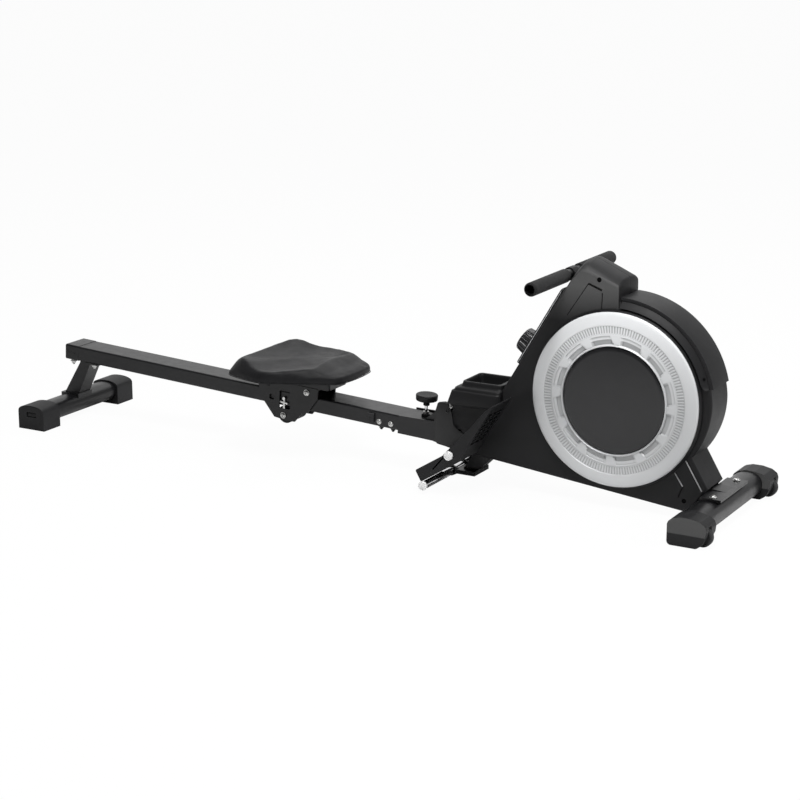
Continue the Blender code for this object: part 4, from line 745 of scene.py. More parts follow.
def display_glass():
    """A grey display behind clear glass, with its faint segment lines."""
    colour = COLOURS["screen"]
    material, tree, shader = base_material("display_glass", colour, 0.0, 0.12, 0.5)
    shader.inputs["Coat Weight"].default_value = 0.6
    segments = ranged(tree, waves(tree, 900.0, "Y"), 0.0, 1.0, 0.4, 0.6)
    coloured(tree, shader, mixed(tree, segments, scaled(colour, 0.9), scaled(colour, 1.08)))
    glossed(tree, shader, grain(tree, 40.0, 4.0), 0.08, 0.16)
    raised(tree, shader, grain(tree, 300.0, 2.0), 0.00001, 0.3)
    return material


MAKERS = {"silver_plastic": silver_paint, "webbing": woven_strap, "screen": display_glass}

# Basis: metallic, roughness and specular. Cloud and gloss: a grain's scale and detail, and two limits.
# Relief: a texture, its scale and detail, its depth in metres and its strength.
MOULDED = dict(
    slot="black_plastic", share=0.30, basis=(0.0, 0.5, 0.23), cloud=((5.0, 3.0), 0.92, 1.1), worn=1.7,
    gloss=((14.0, 4.0), 0.46, 0.56),
    relief=[(pebbles, (1500.0,), 0.00006, 0.55), (grain, (260.0, 2.0), 0.00004, 0.4)])
LOOKS = {
    "black_steel": dict(
        name="powder_coat", slot="black_steel", share=0.22, basis=(0.0, 0.32, 0.36), worn=1.8,
        cloud=((7.0, 4.0), 0.9, 1.15), gloss=((60.0, 3.0), 0.28, 0.37),
        relief=[(grain, (520.0, 2.0), 0.00008, 0.6), (grain, (1800.0, 1.0), 0.00003, 0.5)]),
    "black_plastic": dict(name="moulded_black", **MOULDED),
    "shell": dict(name="shell_black", painted_flank_light=(10.5, 0.440, 0.530), **MOULDED),   # painted light: head flanks painted paler
    "cap": dict(name="cap_black", painted_flank_light=(8.5, 0.0284, 0.0300), **MOULDED),      # painted light: leaning cap ends painted paler
    "gloss_black": dict(
        name="polished_black", slot="gloss_black", basis=(0.0, 0.24, 0.32),
        cloud=((9.0, 3.0), 0.9, 1.2), gloss=((25.0, 5.0), 0.17, 0.25),
        relief=[(grain, (40.0, 2.0), 0.00002, 0.4)],
        extras={"Coat Weight": 0.15, "Coat Roughness": 0.08}),
    "chrome": dict(
        name="bright_chrome", slot="chrome", basis=(1.0, 0.15), cloud=((30.0, 4.0), 0.94, 1.0),
        gloss=((45.0, 5.0, (1, 6, 1)), 0.07, 0.16),
        relief=[(grain, (900.0, 2.0, (1, 0.1, 1)), 0.00001, 0.5)]),
    "zinc": dict(
        name="zinc_plate", slot="zinc", basis=(1.0, 0.3), cloud=((160.0, 5.0), 0.85, 1.1),
        gloss=((300.0, 4.0), 0.22, 0.4), relief=[(grain, (1500.0, 3.0), 0.00004, 0.6)]),
    "raw_iron": dict(
        name="turned_iron", slot="raw_iron", basis=(0.9, 0.45), cloud=((50.0, 6.0), 0.7, 1.2),
        gloss=((90.0, 4.0), 0.38, 0.58), relief=[(pebbles, (700.0,), 0.0001, 0.6)]),
    "white_plastic": dict(
        name="smooth_white", slot="white_plastic", basis=(0.0, 0.38, 0.5),
        cloud=((80.0, 4.0), 0.94, 1.03), gloss=((120.0, 3.0), 0.34, 0.45),
        relief=[(grain, (1400.0, 2.0), 0.00003, 0.4)]),
    "rubber": dict(
        name="soft_rubber", slot="rubber", basis=(0.0, 0.72, 0.35), cloud=((40.0, 5.0), 0.8, 1.4),
        gloss=((70.0, 4.0), 0.66, 0.82), relief=[(grain, (900.0, 4.0), 0.0001, 0.6)]),
    "cable_sheath": dict(
        name="cable_cover", slot="cable_sheath", basis=(0.0, 0.45, 0.5), gloss=((200.0, 3.0), 0.4, 0.52),
        relief=[(grain, (700.0, 3.0), 0.00005, 0.5)]),
    "foam": dict(
        name="grip_foam", slot="foam", share=0.38, basis=(0.0, 0.8, 0.2), cloud=((60.0, 4.0), 0.85, 1.25),
        gloss=((90.0, 3.0), 0.72, 0.88),
        relief=[(pebbles, (900.0,), 0.00022, 0.8), (grain, (2500.0, 2.0), 0.00006, 0.5)],
        extras={"Sheen Weight": 0.04, "Sheen Roughness": 0.6}),
    "vinyl": dict(
        name="grained_cover", slot="vinyl", share=0.42, basis=(0.0, 0.5, 0.16),
        cloud=((18.0, 4.0), 0.85, 1.2), gloss=((30.0, 4.0), 0.40, 0.54),
        relief=[(creases, (520.0,), 0.00012, 0.7), (grain, (1500.0, 3.0), 0.00004, 0.5)]),
    "red_plastic": dict(
        name="red_button", slot="red_plastic", basis=(0.0, 0.4, 0.5), cloud=((150.0, 3.0), 0.9, 1.1),
        gloss=((200.0, 3.0), 0.35, 0.48), relief=[(grain, (1600.0, 2.0), 0.00003, 0.5)]),
    "well": dict(             # the unlit bottom of a screw well
        name="deep_well", slot="rubber", share=0.12, basis=(0.0, 0.8, 0.05),
        cloud=((300.0, 3.0), 0.8, 1.3), gloss=((200.0, 3.0), 0.7, 0.9),
        relief=[(grain, (900.0, 2.0), 0.00005, 0.4)]),
    "pale_edge": dict(        # painted highlight: pale plastic along a crease, for the light along its edge
        name="pale_edge", slot="silver_plastic", share=0.42, basis=(0.0, 0.35, 0.5),
        cloud=((60.0, 3.0), 0.85, 1.1), gloss=((90.0, 3.0), 0.3, 0.42),
        relief=[(grain, (700.0, 2.0), 0.00003, 0.4)]),
}


# Fasteners

def screw_head(radius, depth=0.0016):
    """A domed screw about local Z, with its face at the origin."""
    profile = [(0, 0), (radius * 0.75, 0), (radius, -depth), (0, -depth)]
    return turned(softened(profile, radius * 0.25, 3), 24)


def bolt_and_nut(name, matrix, body, slot, size, thick, tip=0.004):
    """A hexagon nut with its washer and the bolt's end, standing on local Z."""
    seat, shank = 0.0012, size * 0.29
    top = seat + thick
    washer = pin(size * 0.82, 0, 0.0011, 32)
    end = turned(softened([(0, top), (shank, top), (shank, top + tip), (0, top + tip)], 0.0008, 2), 24)
    return put(name, moved(joined(washer, hexagon(size, seat, top), end), matrix), body, slot)


def dome_bolt(name, matrix, body, slot, radius, height, recess):
    """A domed bolt head with a round recess, standing on local Z."""
    seat, floor = 0.001, height * 0.45
    profile = [(0, seat), (radius, seat)]
    for step in range(1, 7):
        angle = pi / 2 * step / 6
        profile.append((recess + (radius - recess) * cos(angle), seat + height * sin(angle)))
    profile += [(recess * 0.98, seat + height), (recess * 0.98, floor), (0, floor)]
    head = joined(pin(radius * 1.18, 0, seat, 36), turned(profile, 36))
    return put(name, moved(head, matrix), body, slot)


# The operators' shared form

class PieceOperator:
    """What the operators below share."""
    bl_options = {"REGISTER"}

    def execute(self, context):
        self.build(context.scene.rower_sizes)
        return {"FINISHED"}


# Rail

class ROWER_OT_rail(PieceOperator, bpy.types.Operator):
    """Finishes the sloping rail, its end cap, its rubber stops and its fasteners"""
    bl_idname = "rower.rail"
    bl_label = "Rail"

    def build(self, sizes):
        carry_over("black_steel", "rail")
        self.end_cap()
        for name, side in SIDES:
            self.stop_block(name, side)
        for index, s in enumerate((0.999, 1.033)):
            for name, side in SIDES:
                matrix = on_rail(s, -0.027, side * (RAIL_WIDTH / 2 + 0.0002)) @ out_of_side(side)
                dome_bolt(f"rail_bolt_{name}_{index + 1}", matrix, "rail", "zinc", 0.0058, 0.0032, 0.0022)
                under = on_rail(s, -RAIL_HEIGHT - 0.0002, side * 0.026) @ UPSIDE_DOWN
                bolt_and_nut(f"rail_nut_{name}_{index + 1}", under, "rail", "black_steel", 0.011, 0.005)

    def section(self, grow, corner):
        """The rail's section, a little larger, as distances across it and above its top."""
        half = RAIL_WIDTH / 2 + grow
        return rounded(rectangle(-half, half, -RAIL_HEIGHT - grow, grow), corner)

    def end_cap(self):
        length, wall = 0.045, 0.0009
        section = self.section(wall, 0.0045)
        rows = []
        for s, shrink in ((0.0, 0.004), (0.0006, 0.0018), (0.0018, 0.0006), (0.0035, 0.0),
                          (length - 0.0006, 0.0), (length, 0.0006)):
            outline = inset(section, shrink) if shrink else section
            rows.append([rail_point(s, h, y) for y, h in outline])
        hollow = self.section(GAP, 0.004)
        cutters = [lofted([[rail_point(s, h, y) for y, h in hollow] for s in (0.0026, length + 0.01)])]
        slot = rounded(rectangle(-0.007, 0.007, -0.0035, 0.0035), 0.001)
        for side in (-1, 1):
            face = side * (RAIL_WIDTH / 2 + wall)
            cutters.append(moved(plate(slot, -0.0009, 0.0009), on_rail(0.017, -0.016, face)))
            hole = on_rail(0.034, -0.020, face) @ out_of_side(side)
            cutters.append(moved(pin(0.0028, -0.003, 0.003, 24), hole))
        put("rail_cap", lofted(rows), "rail", "black_plastic", ["rail_end_cap"], "black_steel",
            cutters=cutters)

    def stop_block(self, name, side):
        low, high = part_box(f"rail_stop_{name}")
        half = (high.y - low.y) / 2
        block = plate(rounded(rectangle(-0.010, 0.010, -0.012, 0.012), 0.0025), -half, half, 0.0012)
        screw = moved(screw_head(0.0035), out_of_side(side, (0, side * (half + 0.0008), 0)))
        matrix = turned_to(middle_of(f"rail_stop_{name}"), (0, RAIL_TILT * 180 / pi, 0))
        put(f"stop_block_{name}", moved(block, matrix), "rail", "rubber", [f"rail_stop_{name}"])
        put(f"stop_screw_{name}", moved(screw, matrix), "rail", "black_steel")


# Stabilizers

def cap_rows(outline, span, length, side, edge=0.006, steps=5):
    """A moulded stabilizer cap: its outer end is rounded over and its inner end is square."""
    outer, inner = side * span / 2, side * (span / 2 - length)
    rows = []
    for step in range(steps + 1):
        angle = pi / 2 * step / steps
        line = inset(outline, edge * (1 - sin(angle))) if step < steps else outline
        depth = outer - side * edge * (1 - cos(angle))
        rows.append([(x, depth, max(z, 0.0)) for x, z in line])
    rows.append([(x, inner, z) for x, z in outline])
    return rows


class ROWER_OT_rear_support(PieceOperator, bpy.types.Operator):
    """Builds the rear leg's fasteners, the rear tube and its two moulded caps"""
    bl_idname = "rower.rear_support"
    bl_label = "Rear support"

    def build(self, sizes):
        carry_over("black_steel", "rear_leg", edge=0.0008)
        stabilizer_tube("rear", "rail", 0, 0.070, 0.052, REAR_SPAN)
        for name, side in SIDES:
            self.cap(name, side)
        for index, (s, y) in enumerate(((0.022, -0.030), (0.093, -0.030), (0.022, 0.030), (0.093, 0.030))):
            under = on_rail(s, -RAIL_HEIGHT - 0.0045, y) @ UPSIDE_DOWN
            bolt_and_nut(f"leg_nut_{index + 1}", under, "rail", "zinc", 0.011, 0.0055)

    def cap(self, name, side):
        half, shoulder, rise, face = 0.043, 0.046, 0.0206, 0.1948
        outline = [(half, 0)]
        for step in range(25):
            angle = pi * step / 24
            outline.append((half * cos(angle), shoulder + rise * sin(angle) ** 0.62))
        outline += [(-half, 0)]
        socket = slab(oval((0, TUBE_HEIGHT), 0.0706, 0.0526), side, 0.12, 0.1956)
        recess = rounded(rectangle(-0.013, 0.019, 0.0355, 0.0485), 0.002)
        put(f"rear_end_cap_{name}", lofted(cap_rows(outline, REAR_SPAN, 0.0713, side, 0.0028)),
            "rail", "black_plastic", [f"rear_cap_{name}"], cutters=[socket, slab(recess, side, face, 0.21)])
        island = slab(inset(recess, 0.0016), side, face + 0.0002, face + 0.0036, 0.0004)
        put(f"cap_recess_{name}", island, "rail", "black_plastic")


def stabilizer_tube(name, body, x, width, height, span, wells=()):
    """An oval tube that is open at both ends, with any wells cut into it."""
    outline = oval((x, TUBE_HEIGHT), width, height)
    half = (span - CAPS_OVER_TUBE) / 2
    hollow = plate(inset(outline, TUBE_WALL), -half - 0.01, half + 0.01)
    put(f"{name}_tube", plate(outline, -half, half), body, "black_steel", [f"{name}_stabilizer_tube"],
        cutters=[hollow, *wells])


class ROWER_OT_front_support(PieceOperator, bpy.types.Operator):
    """Builds the front tube, its two caps, the transport wheels and the saddle's bolts"""
    bl_idname = "rower.front_support"
    bl_label = "Front support"

    def build(self, sizes):
        wells = [self.well(middle_of(f"transport_wheel_{name}")) for name, _ in SIDES]
        stabilizer_tube("front", "frame", FRONT_X, 0.074, 0.059, FRONT_SPAN, wells)
        for name, side in SIDES:
            centre = middle_of(f"transport_wheel_{name}")
            self.cap(name, side, centre)
            self.wheel(name, centre)
            self.bolt(name)

    def well(self, centre):
        """The space that a transport wheel turns in, open to the front."""
        radius, half, ahead = WHEEL_RADIUS + 0.0015, 0.0095, centre.x + 0.05
        outline = arc((centre.x, centre.z), radius, 90, 270, 24)
        outline += [(ahead, centre.z - radius), (ahead, centre.z + radius)]
        return plate(outline, centre.y - half, centre.y + half)

    def cap(self, name, side, centre):
        corners = [(-0.038, 0), (0.033, 0), (0.047, 0.010), (0.056, 0.030), (0.0575, 0.045), (0.054, 0.055),
                   (0.041, 0.0635), (0.017, 0.0685), (-0.008, 0.0685), (-0.026, 0.0635), (-0.035, 0.0565),
                   (-0.038, 0.050)]
        outline = rounded([(FRONT_X + x, z) for x, z in corners], 0.010, 5)
        socket = slab(oval((FRONT_X, TUBE_HEIGHT), 0.0746, 0.0596), side, 0.17, 0.2371)
        lean = ((0.2425, 0.0290), (0.2425, 0.080), (0.2376, 0.080), (0.2409, 0.0290))
        upper = lofted([[(x, side * y, z) for y, z in lean] for x in (FRONT_X - 0.06, FRONT_X + 0.08)])
        bore = moved(pin(0.0043, -0.017, 0.017, 24), out_of_side(1, centre))
        put(f"front_end_cap_{name}", lofted(cap_rows(outline, FRONT_SPAN, 0.062, side, 0.0035)), "frame",
            "black_plastic", [f"front_cap_{name}"], "cap", cutters=[socket, upper, self.well(centre), bore])

    def wheel(self, name, centre):
        half, radius = WHEEL_HALF, WHEEL_RADIUS
        journal = half + 0.0062
        profile = [(0, journal), (0.0033, journal), (0.004, journal - 0.0007), (0.004, half - 0.002),
                   (0.0075, half - 0.002), (0.0085, half - 0.0005), (0.0105, half - 0.0005),
                   (0.0115, half - 0.003), (0.0175, half - 0.003), (0.0185, half - 0.0005),
                   (radius - 0.003, half), (radius - 0.001, half - 0.001), (radius, half - 0.003)]
        profile += [(r, -y) for r, y in reversed(profile)]
        shape = moved(turned(profile, 72), out_of_side(1, centre))
        put(f"roll_wheel_{name}", shape, f"wheel_{name}", "rubber", [f"transport_wheel_{name}"])

    def bolt(self, name):
        place = middle_of(f"saddle_bolt_{name}")
        place.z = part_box(f"saddle_bolt_{name}")[1].z - 0.0053
        piece = dome_bolt(f"stand_bolt_{name}", turned_to(place), "frame", "zinc", 0.0075, 0.0042, 0.0035)
        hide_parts(f"saddle_bolt_{name}")


# Seat

SEAT_OUTLINE = (
    (0.5880, 0), (0.5885, 0.050), (0.5910, 0.100), (0.6000, 0.129), (0.6380, 0.149), (0.6950, 0.1655),
    (0.7300, 0.1660), (0.7950, 0.1420), (0.8600, 0.1090), (0.8960, 0.088), (0.9090, 0.062), (0.9140, 0))
SEAT_RIDGE = (
    (0.6120, 0, 0.2555), (0.6130, 0.050, 0.2560), (0.6170, 0.088, 0.2575), (0.6320, 0.117, 0.2605),
    (0.6560, 0.136, 0.2590), (0.7000, 0.156, 0.2440), (0.7400, 0.1575, 0.2420), (0.7850, 0.1360, 0.2455),
    (0.8230, 0.1120, 0.2490), (0.8420, 0.096, 0.2500), (0.8430, 0.050, 0.2545), (0.8400, 0, 0.2560))
PAD_LOW = 0.2128        # underside of the cushion
PAD_RIM = 0.2185        # its widest line
PAD_DISH = 0.2440       # middle of its dish
SEAT_MIDDLE = 0.74


def closed_line(half, steps):
    """A smooth closed line through half an outline and its mirror image."""
    whole = [Vector(point) for point in half]
    whole += [Vector((x, -y, z)) for x, y, z in reversed(half[1:-1])]
    count = len(whole)
    found = []
    for index in range(count):
        before, start, end, after = (whole[(index + offset) % count] for offset in (-1, 0, 1, 2))
        for step in range(steps):
            t = step / steps
            found.append(0.5 * (2 * start + (end - before) * t
                                + (2 * before - 5 * start + 4 * end - after) * t ** 2
                                + (3 * start - before - 3 * end + after) * t ** 3))
    return found


class ROWER_OT_seat_cushion(PieceOperator, bpy.types.Operator):
    """Sews and fills the seat: raised rear corners, a dished middle and drawn-in sides"""
    bl_idname = "rower.seat_cushion"
    bl_label = "Seat cushion"

    def build(self, sizes):
        cushion = link_piece("seat_cushion", self.form(), 60)
        self.fill(cushion, sizes.seat_swell)
        dress(cushion, "seat", "vinyl", ["seat_pad"])
        dress(link_piece("seat_seam", self.seam(), 60), "seat", "vinyl")

    def form(self, shrink=0.0012):
        """The cushion before it is filled, a little smaller than its space."""
        rim = closed_line([(x, y, PAD_RIM) for x, y in SEAT_OUTLINE], 8)
        ridge = closed_line(SEAT_RIDGE, 8)
        middle = Vector((sum(point.x for point in ridge) / len(ridge), 0, 0))
        rows = [(0.0, inwards, lift + PAD_LOW - PAD_RIM) for inwards, lift in (
            (0.400, 0.0), (0.200, 0.0), (0.050, 0.0), (0.014, 0.0002), (0.004, 0.0012), (0.0, 0.0035))]
        rows += (  # share of the way from the rim to the ridge, distance inwards, rise
            (0.0, 0.0, 0.0), (0.0, 0.002, 0.0040),
            (0.06, -0.001, 0.0042), (0.30, -0.006, 0.0030), (0.55, -0.009, 0.0020), (0.78, -0.007, 0.0006),
            (0.92, -0.003, -0.0006), (0.98, 0.006, -0.0004), (1.0, 0.020, 0.0), (1.0, 0.040, -0.0002),
            (1.0, 0.070, -0.0010), (1.0, 0.120, -0.0028), (1.0, 0.200, -0.0050), (1.0, 0.300, -0.0075),
            (1.0, 0.420, -0.0095), (1.0, 0.550, -0.0110), (1.0, 0.680, -0.0125), (1.0, 0.840, -0.0130))
        rings = []
        for share, inwards, rise in rows:
            ring = []
            for low, high in zip(rim, ridge):
                point = low.lerp(high, share)
                level = point.z + rise
                if rise > 0:
                    level += self.blunt(point.x, share)
                if inwards > 0.1 and share > 0.5:
                    level += (PAD_DISH - level) * inwards
                outwards = Vector((point.x - middle.x, point.y)).normalized() * shrink
                ring.append((point.x + (middle.x - point.x) * inwards - outwards.x,
                             point.y * (1 - inwards) - outwards.y, level))
            rings.append(ring)
        return lofted(rings)

    def blunt(self, x, share):
        """How much the front corners stand up over the rest of the rim."""
        start, run, lift, reach = 0.800, 0.070, 0.0085, 0.55
        ahead = min(1.0, max(0.0, (x - start) / run))
        return lift * ahead ** 2 * (3 - 2 * ahead) * max(0.0, 1 - share / reach)

    def fill(self, cushion, swell, voxel=0.0040, frames=20, skirt=0.008):
        """Remeshes the cover, fills it by a short cloth simulation and keeps the result.

        The swell starts at the flat underside and reaches its full size a skirt's height above it.
        """
        remesh = cushion.modifiers.new("remesh", "REMESH")
        remesh.mode = "VOXEL"
        remesh.voxel_size = voxel
        self.apply(cushion)
        rest = np.array([vertex.co for vertex in cushion.data.vertices])
        cloth = cushion.modifiers.new("cloth", "CLOTH")
        for setting, value in (("quality", 6), ("mass", 0.3), ("tension_stiffness", 40),
                               ("compression_stiffness", 40), ("bending_stiffness", 8),
                               ("use_pressure", True), ("uniform_pressure_force", 4)):
            setattr(cloth.settings, setting, value)
        cloth.settings.effector_weights.gravity = 0
        scene = bpy.context.scene
        for step in range(1, frames + 1):
            scene.frame_set(step)
        self.apply(cushion)
        scene.frame_set(1)
        filled = np.array([vertex.co for vertex in cushion.data.vertices])
        shift = filled - rest
        length = np.linalg.norm(shift, axis=1, keepdims=True)
        shift *= np.minimum(1.0, swell / np.maximum(length, 1e-9))
        free = np.clip((rest[:, 2:3] - PAD_LOW) / skirt, 0.0, 1.0)
        filled = rest + shift * free
        filled[:, 2] = np.maximum(filled[:, 2], PAD_LOW)
        for vertex, place in zip(cushion.data.vertices, filled):
            vertex.co = place
        smooth = cushion.modifiers.new("even", "CORRECTIVE_SMOOTH")
        smooth.factor = 0.5
        smooth.iterations = 4
        smooth.smooth_type = "LENGTH_WEIGHTED"
        smooth.use_only_smooth = True
        self.apply(cushion)
        finer = cushion.modifiers.new("finer", "SUBSURF")
        finer.levels = 1
        finer.render_levels = 1
        cushion.data.shade_smooth()

    def apply(self, piece):
        bpy.context.view_layer.update()
        mesh = bpy.data.meshes.new_from_object(piece.evaluated_get(bpy.context.evaluated_depsgraph_get()))
        piece.modifiers.clear()
        piece.data = mesh

    def seam(self):
        """The welt round the rim, where the cover meets the base."""
        radius, sides = 0.0011, 8
        rim = closed_line([(x, y, PAD_LOW + 0.0014) for x, y in SEAT_OUTLINE], 8)
        count = len(rim)
        rows = []
        for index, point in enumerate(rim):
            along = (rim[(index + 1) % count] - rim[index - 1]).normalized()
            out = Vector((along.y, -along.x, 0))
            if out.dot(point - Vector((SEAT_MIDDLE, 0, point.z))) < 0:
                out = -out
            rows.append([point + out * (radius * cos(angle) - 2 * radius) + Vector((0, 0, radius * sin(angle)))
                         for angle in (2 * pi * step / sides for step in range(sides))])
        rows.append(rows[0])
        return lofted(rows, False)


class ROWER_OT_seat_carriage(PieceOperator, bpy.types.Operator):
    """Builds the seat's steel carriage, its pan, rollers, bolt heads and hook"""
    bl_idname = "rower.seat_carriage"
    bl_label = "Seat carriage"
    seat_s = 0.7265

    def build(self, sizes):
        carry_over("black_steel", "seat_carriage", edge=0.0006)
        self.pan()
        for name, s, h, radius in (("front", 0.0585, 0.0098, 0.0098), ("rear", -0.0585, 0.0098, 0.0098),
                                   ("lower", -0.0095, -0.0640, 0.0240)):
            self.roller(name, s, h, radius)
        self.hooks()

    def pan(self):
        """A folded sheet under the cushion, with its floor along the rail and its rim level."""
        low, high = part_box("seat_plate")
        rear, front, half = low.x + MIDDLE, high.x + MIDDLE, high.y

        def ring(shrink, corner, rise=None, level=high.z):
            outline = rectangle(rear + shrink, front - shrink, -half + shrink, half - shrink)
            return [(x, y, level if rise is None else self.deck_z(x) + rise)
                    for x, y in rounded(outline, corner)]

        pan = lofted([ring(0.004, 0.008, 0.0), ring(0.0012, 0.008, 0.0004), ring(0.0, 0.008, 0.002),
                      ring(0.0, 0.008)])
        hollow = lofted([ring(0.003, 0.006, 0.003), ring(0.003, 0.006, level=high.z + 0.01)])
        put("seat_pan", pan, "seat", "black_steel", ["seat_plate"], cutters=[hollow])

    def deck_z(self, x):
        return rail_point(x / cos(RAIL_TILT), 0.0239 + GAP).z

    def roller(self, name, s, h, radius):
        half, head, spindle = 0.0355, 0.0461, 0.004
        rim = radius - GAP
        side = [(0, head), (spindle, head), (spindle, half), (rim * 0.62, half),
                (rim * 0.70, half - 0.0013), (rim - 0.0015, half - 0.0013), (rim, half - 0.0027)]
        profile = side + [(r, -y) for r, y in reversed(side)]
        place = rail_point(self.seat_s + s, h)
        shape = moved(turned(profile, 56), out_of_side(1, place))
        put(f"{name}_wheel", shape, f"{name}_roller", "black_plastic", [f"{name}_roller"])
        if name == "rear":
            return
        for label, side_sign in SIDES:
            matrix = out_of_side(side_sign, (place.x, side_sign * 0.0462, place.z))
            dome_bolt(f"{name}_axle_bolt_{label}", matrix, "seat", "zinc", 0.0068, 0.0036, 0.0026)

    def hooks(self):
        """The bright brackets that hang in the skirts' windows and carry the lower roller."""
        for name, side in SIDES:
            stem = plate(oblong((0.0, -0.004), (0.0, -0.038), 0.0028), -0.0013, 0.0013, 0.0005, 2)
            arm = plate(oblong((-0.0095, -0.0145), (0.0085, -0.0165), 0.0026), -0.0018, 0.0018, 0.0005, 2)
            nut = moved(hexagon(0.0085, 0.0, 0.0035), out_of_side(side, (0, 0, -0.004)))
            place = on_rail(self.seat_s - 0.0095, -0.0145, side * 0.0432)
            put(f"roller_hook_{name}", moved(joined(stem, arm, nut), place), "seat", "zinc")


# Drum housing

# The head's side view at its crest and at its sides: x and height, or the distance behind the sloping face
HEAD_CREST = (
    (0.0006, 0.430), (1.6050, 0.430), (1.6475, 0.430), (1.6475, 0.5045), (1.6500, 0.5140), (1.6508, 0.5300),
    (1.6508, 0.5445), (1.6500, 0.5490), (1.6466, 0.5527), (1.6270, 0.5617), (1.6066, 0.5711), (1.5850, 0.5804),
    (1.5665, 0.5883), (1.5620, 0.5893), (1.5580, 0.5893), (1.5530, 0.5873), (1.5480, 0.5833), (0.0006, 0.5750))
HEAD_SIDE = (
    (0.0006, 0.430), (1.6050, 0.430), (1.6475, 0.430), (1.6475, 0.5045), (1.6475, 0.5120), (1.6474, 0.5225),
    (1.6471, 0.5320), (1.6462, 0.5352), (1.6436, 0.5374), (1.6260, 0.5438), (1.6080, 0.5502), (1.5880, 0.5574),
    (1.5700, 0.5637), (1.5640, 0.5655), (1.5590, 0.5665), (1.5535, 0.5668), (1.5475, 0.5645), (0.0050, 0.5420))


def drum_rim(start, end, steps):
    """The shell's rim round the drum, drawn in where it runs down to the column."""
    bend, run, drawn_in = 5, 36.2, 0.0126       # degrees, degrees and metres
    found = []
    for x, z in arc(DRUM, DRUM_RADIUS, start, end, steps):
        below = max(0.0, bend - atan2(z - DRUM[1], x - DRUM[0]) * 180 / pi)
        share = 1 - drawn_in * (below / run) ** 1.3 / DRUM_RADIUS
        found.append((DRUM[0] + (x - DRUM[0]) * share, DRUM[1] + (z - DRUM[1]) * share))
    return found


def housing_outline():
    return [(1.250, bottom_z(1.250)), (1.8235, bottom_z(1.8235)), (1.850, 0.040), (1.862, 0.058),
            (1.880, 0.0805), *drum_rim(-31.2, 89.8, 96), (1.640, 0.510), (1.640, 0.515),
            (slope_x(0.515), 0.515), SLOPE_FOOT, (1.3458, 0.2497), (1.3458, 0.2002), (1.205, 0.2002),
            (1.235, 0.130)]


def head_section(share, wall=0.0):
    """The head's side view at a share of the way from its crest to its side."""
    lines = [[(x if x > 1 else slope_x(z) + x, z) for x, z in line] for line in (HEAD_CREST, HEAD_SIDE)]
    blend = [tuple(Vector(crest).lerp(Vector(flank), abs(share) ** 3)) for crest, flank in zip(*lines)]
    return inset(blend, wall) if wall else blend


GUARD_START = 12.4
GUARD_END = 88.5
GUARD_EDGE = 0.2350
SCREW_WELLS = ((1.5970, 0.5485, HEAD_HALF), (1.8234, 0.0442, HOUSING_HALF))
CREASES = (((1.8247, 0.1431), (1.8668, 0.0743)), ((1.7986, 0.1102), (1.8196, 0.0792)))
SCOOP = [(1.2157, 0.1320), (1.2435, 0.1410), (1.2602, 0.1330), (1.3014, 0.1438), (1.3008, 0.1985),
         (1.2154, 0.1950), (1.2099, 0.1773)]

# Openings for the rail's hinge, the frame's front and the foot: their sides and half width
HOUSING_MOUTHS = (
    ((1.182, 1.262, 0.072, 0.190), 0.0468), ((1.810, 1.894, 0.0065, 0.0805), 0.0253),
    ((1.2465, 1.3085, 0.057, 0.087), 0.0203))


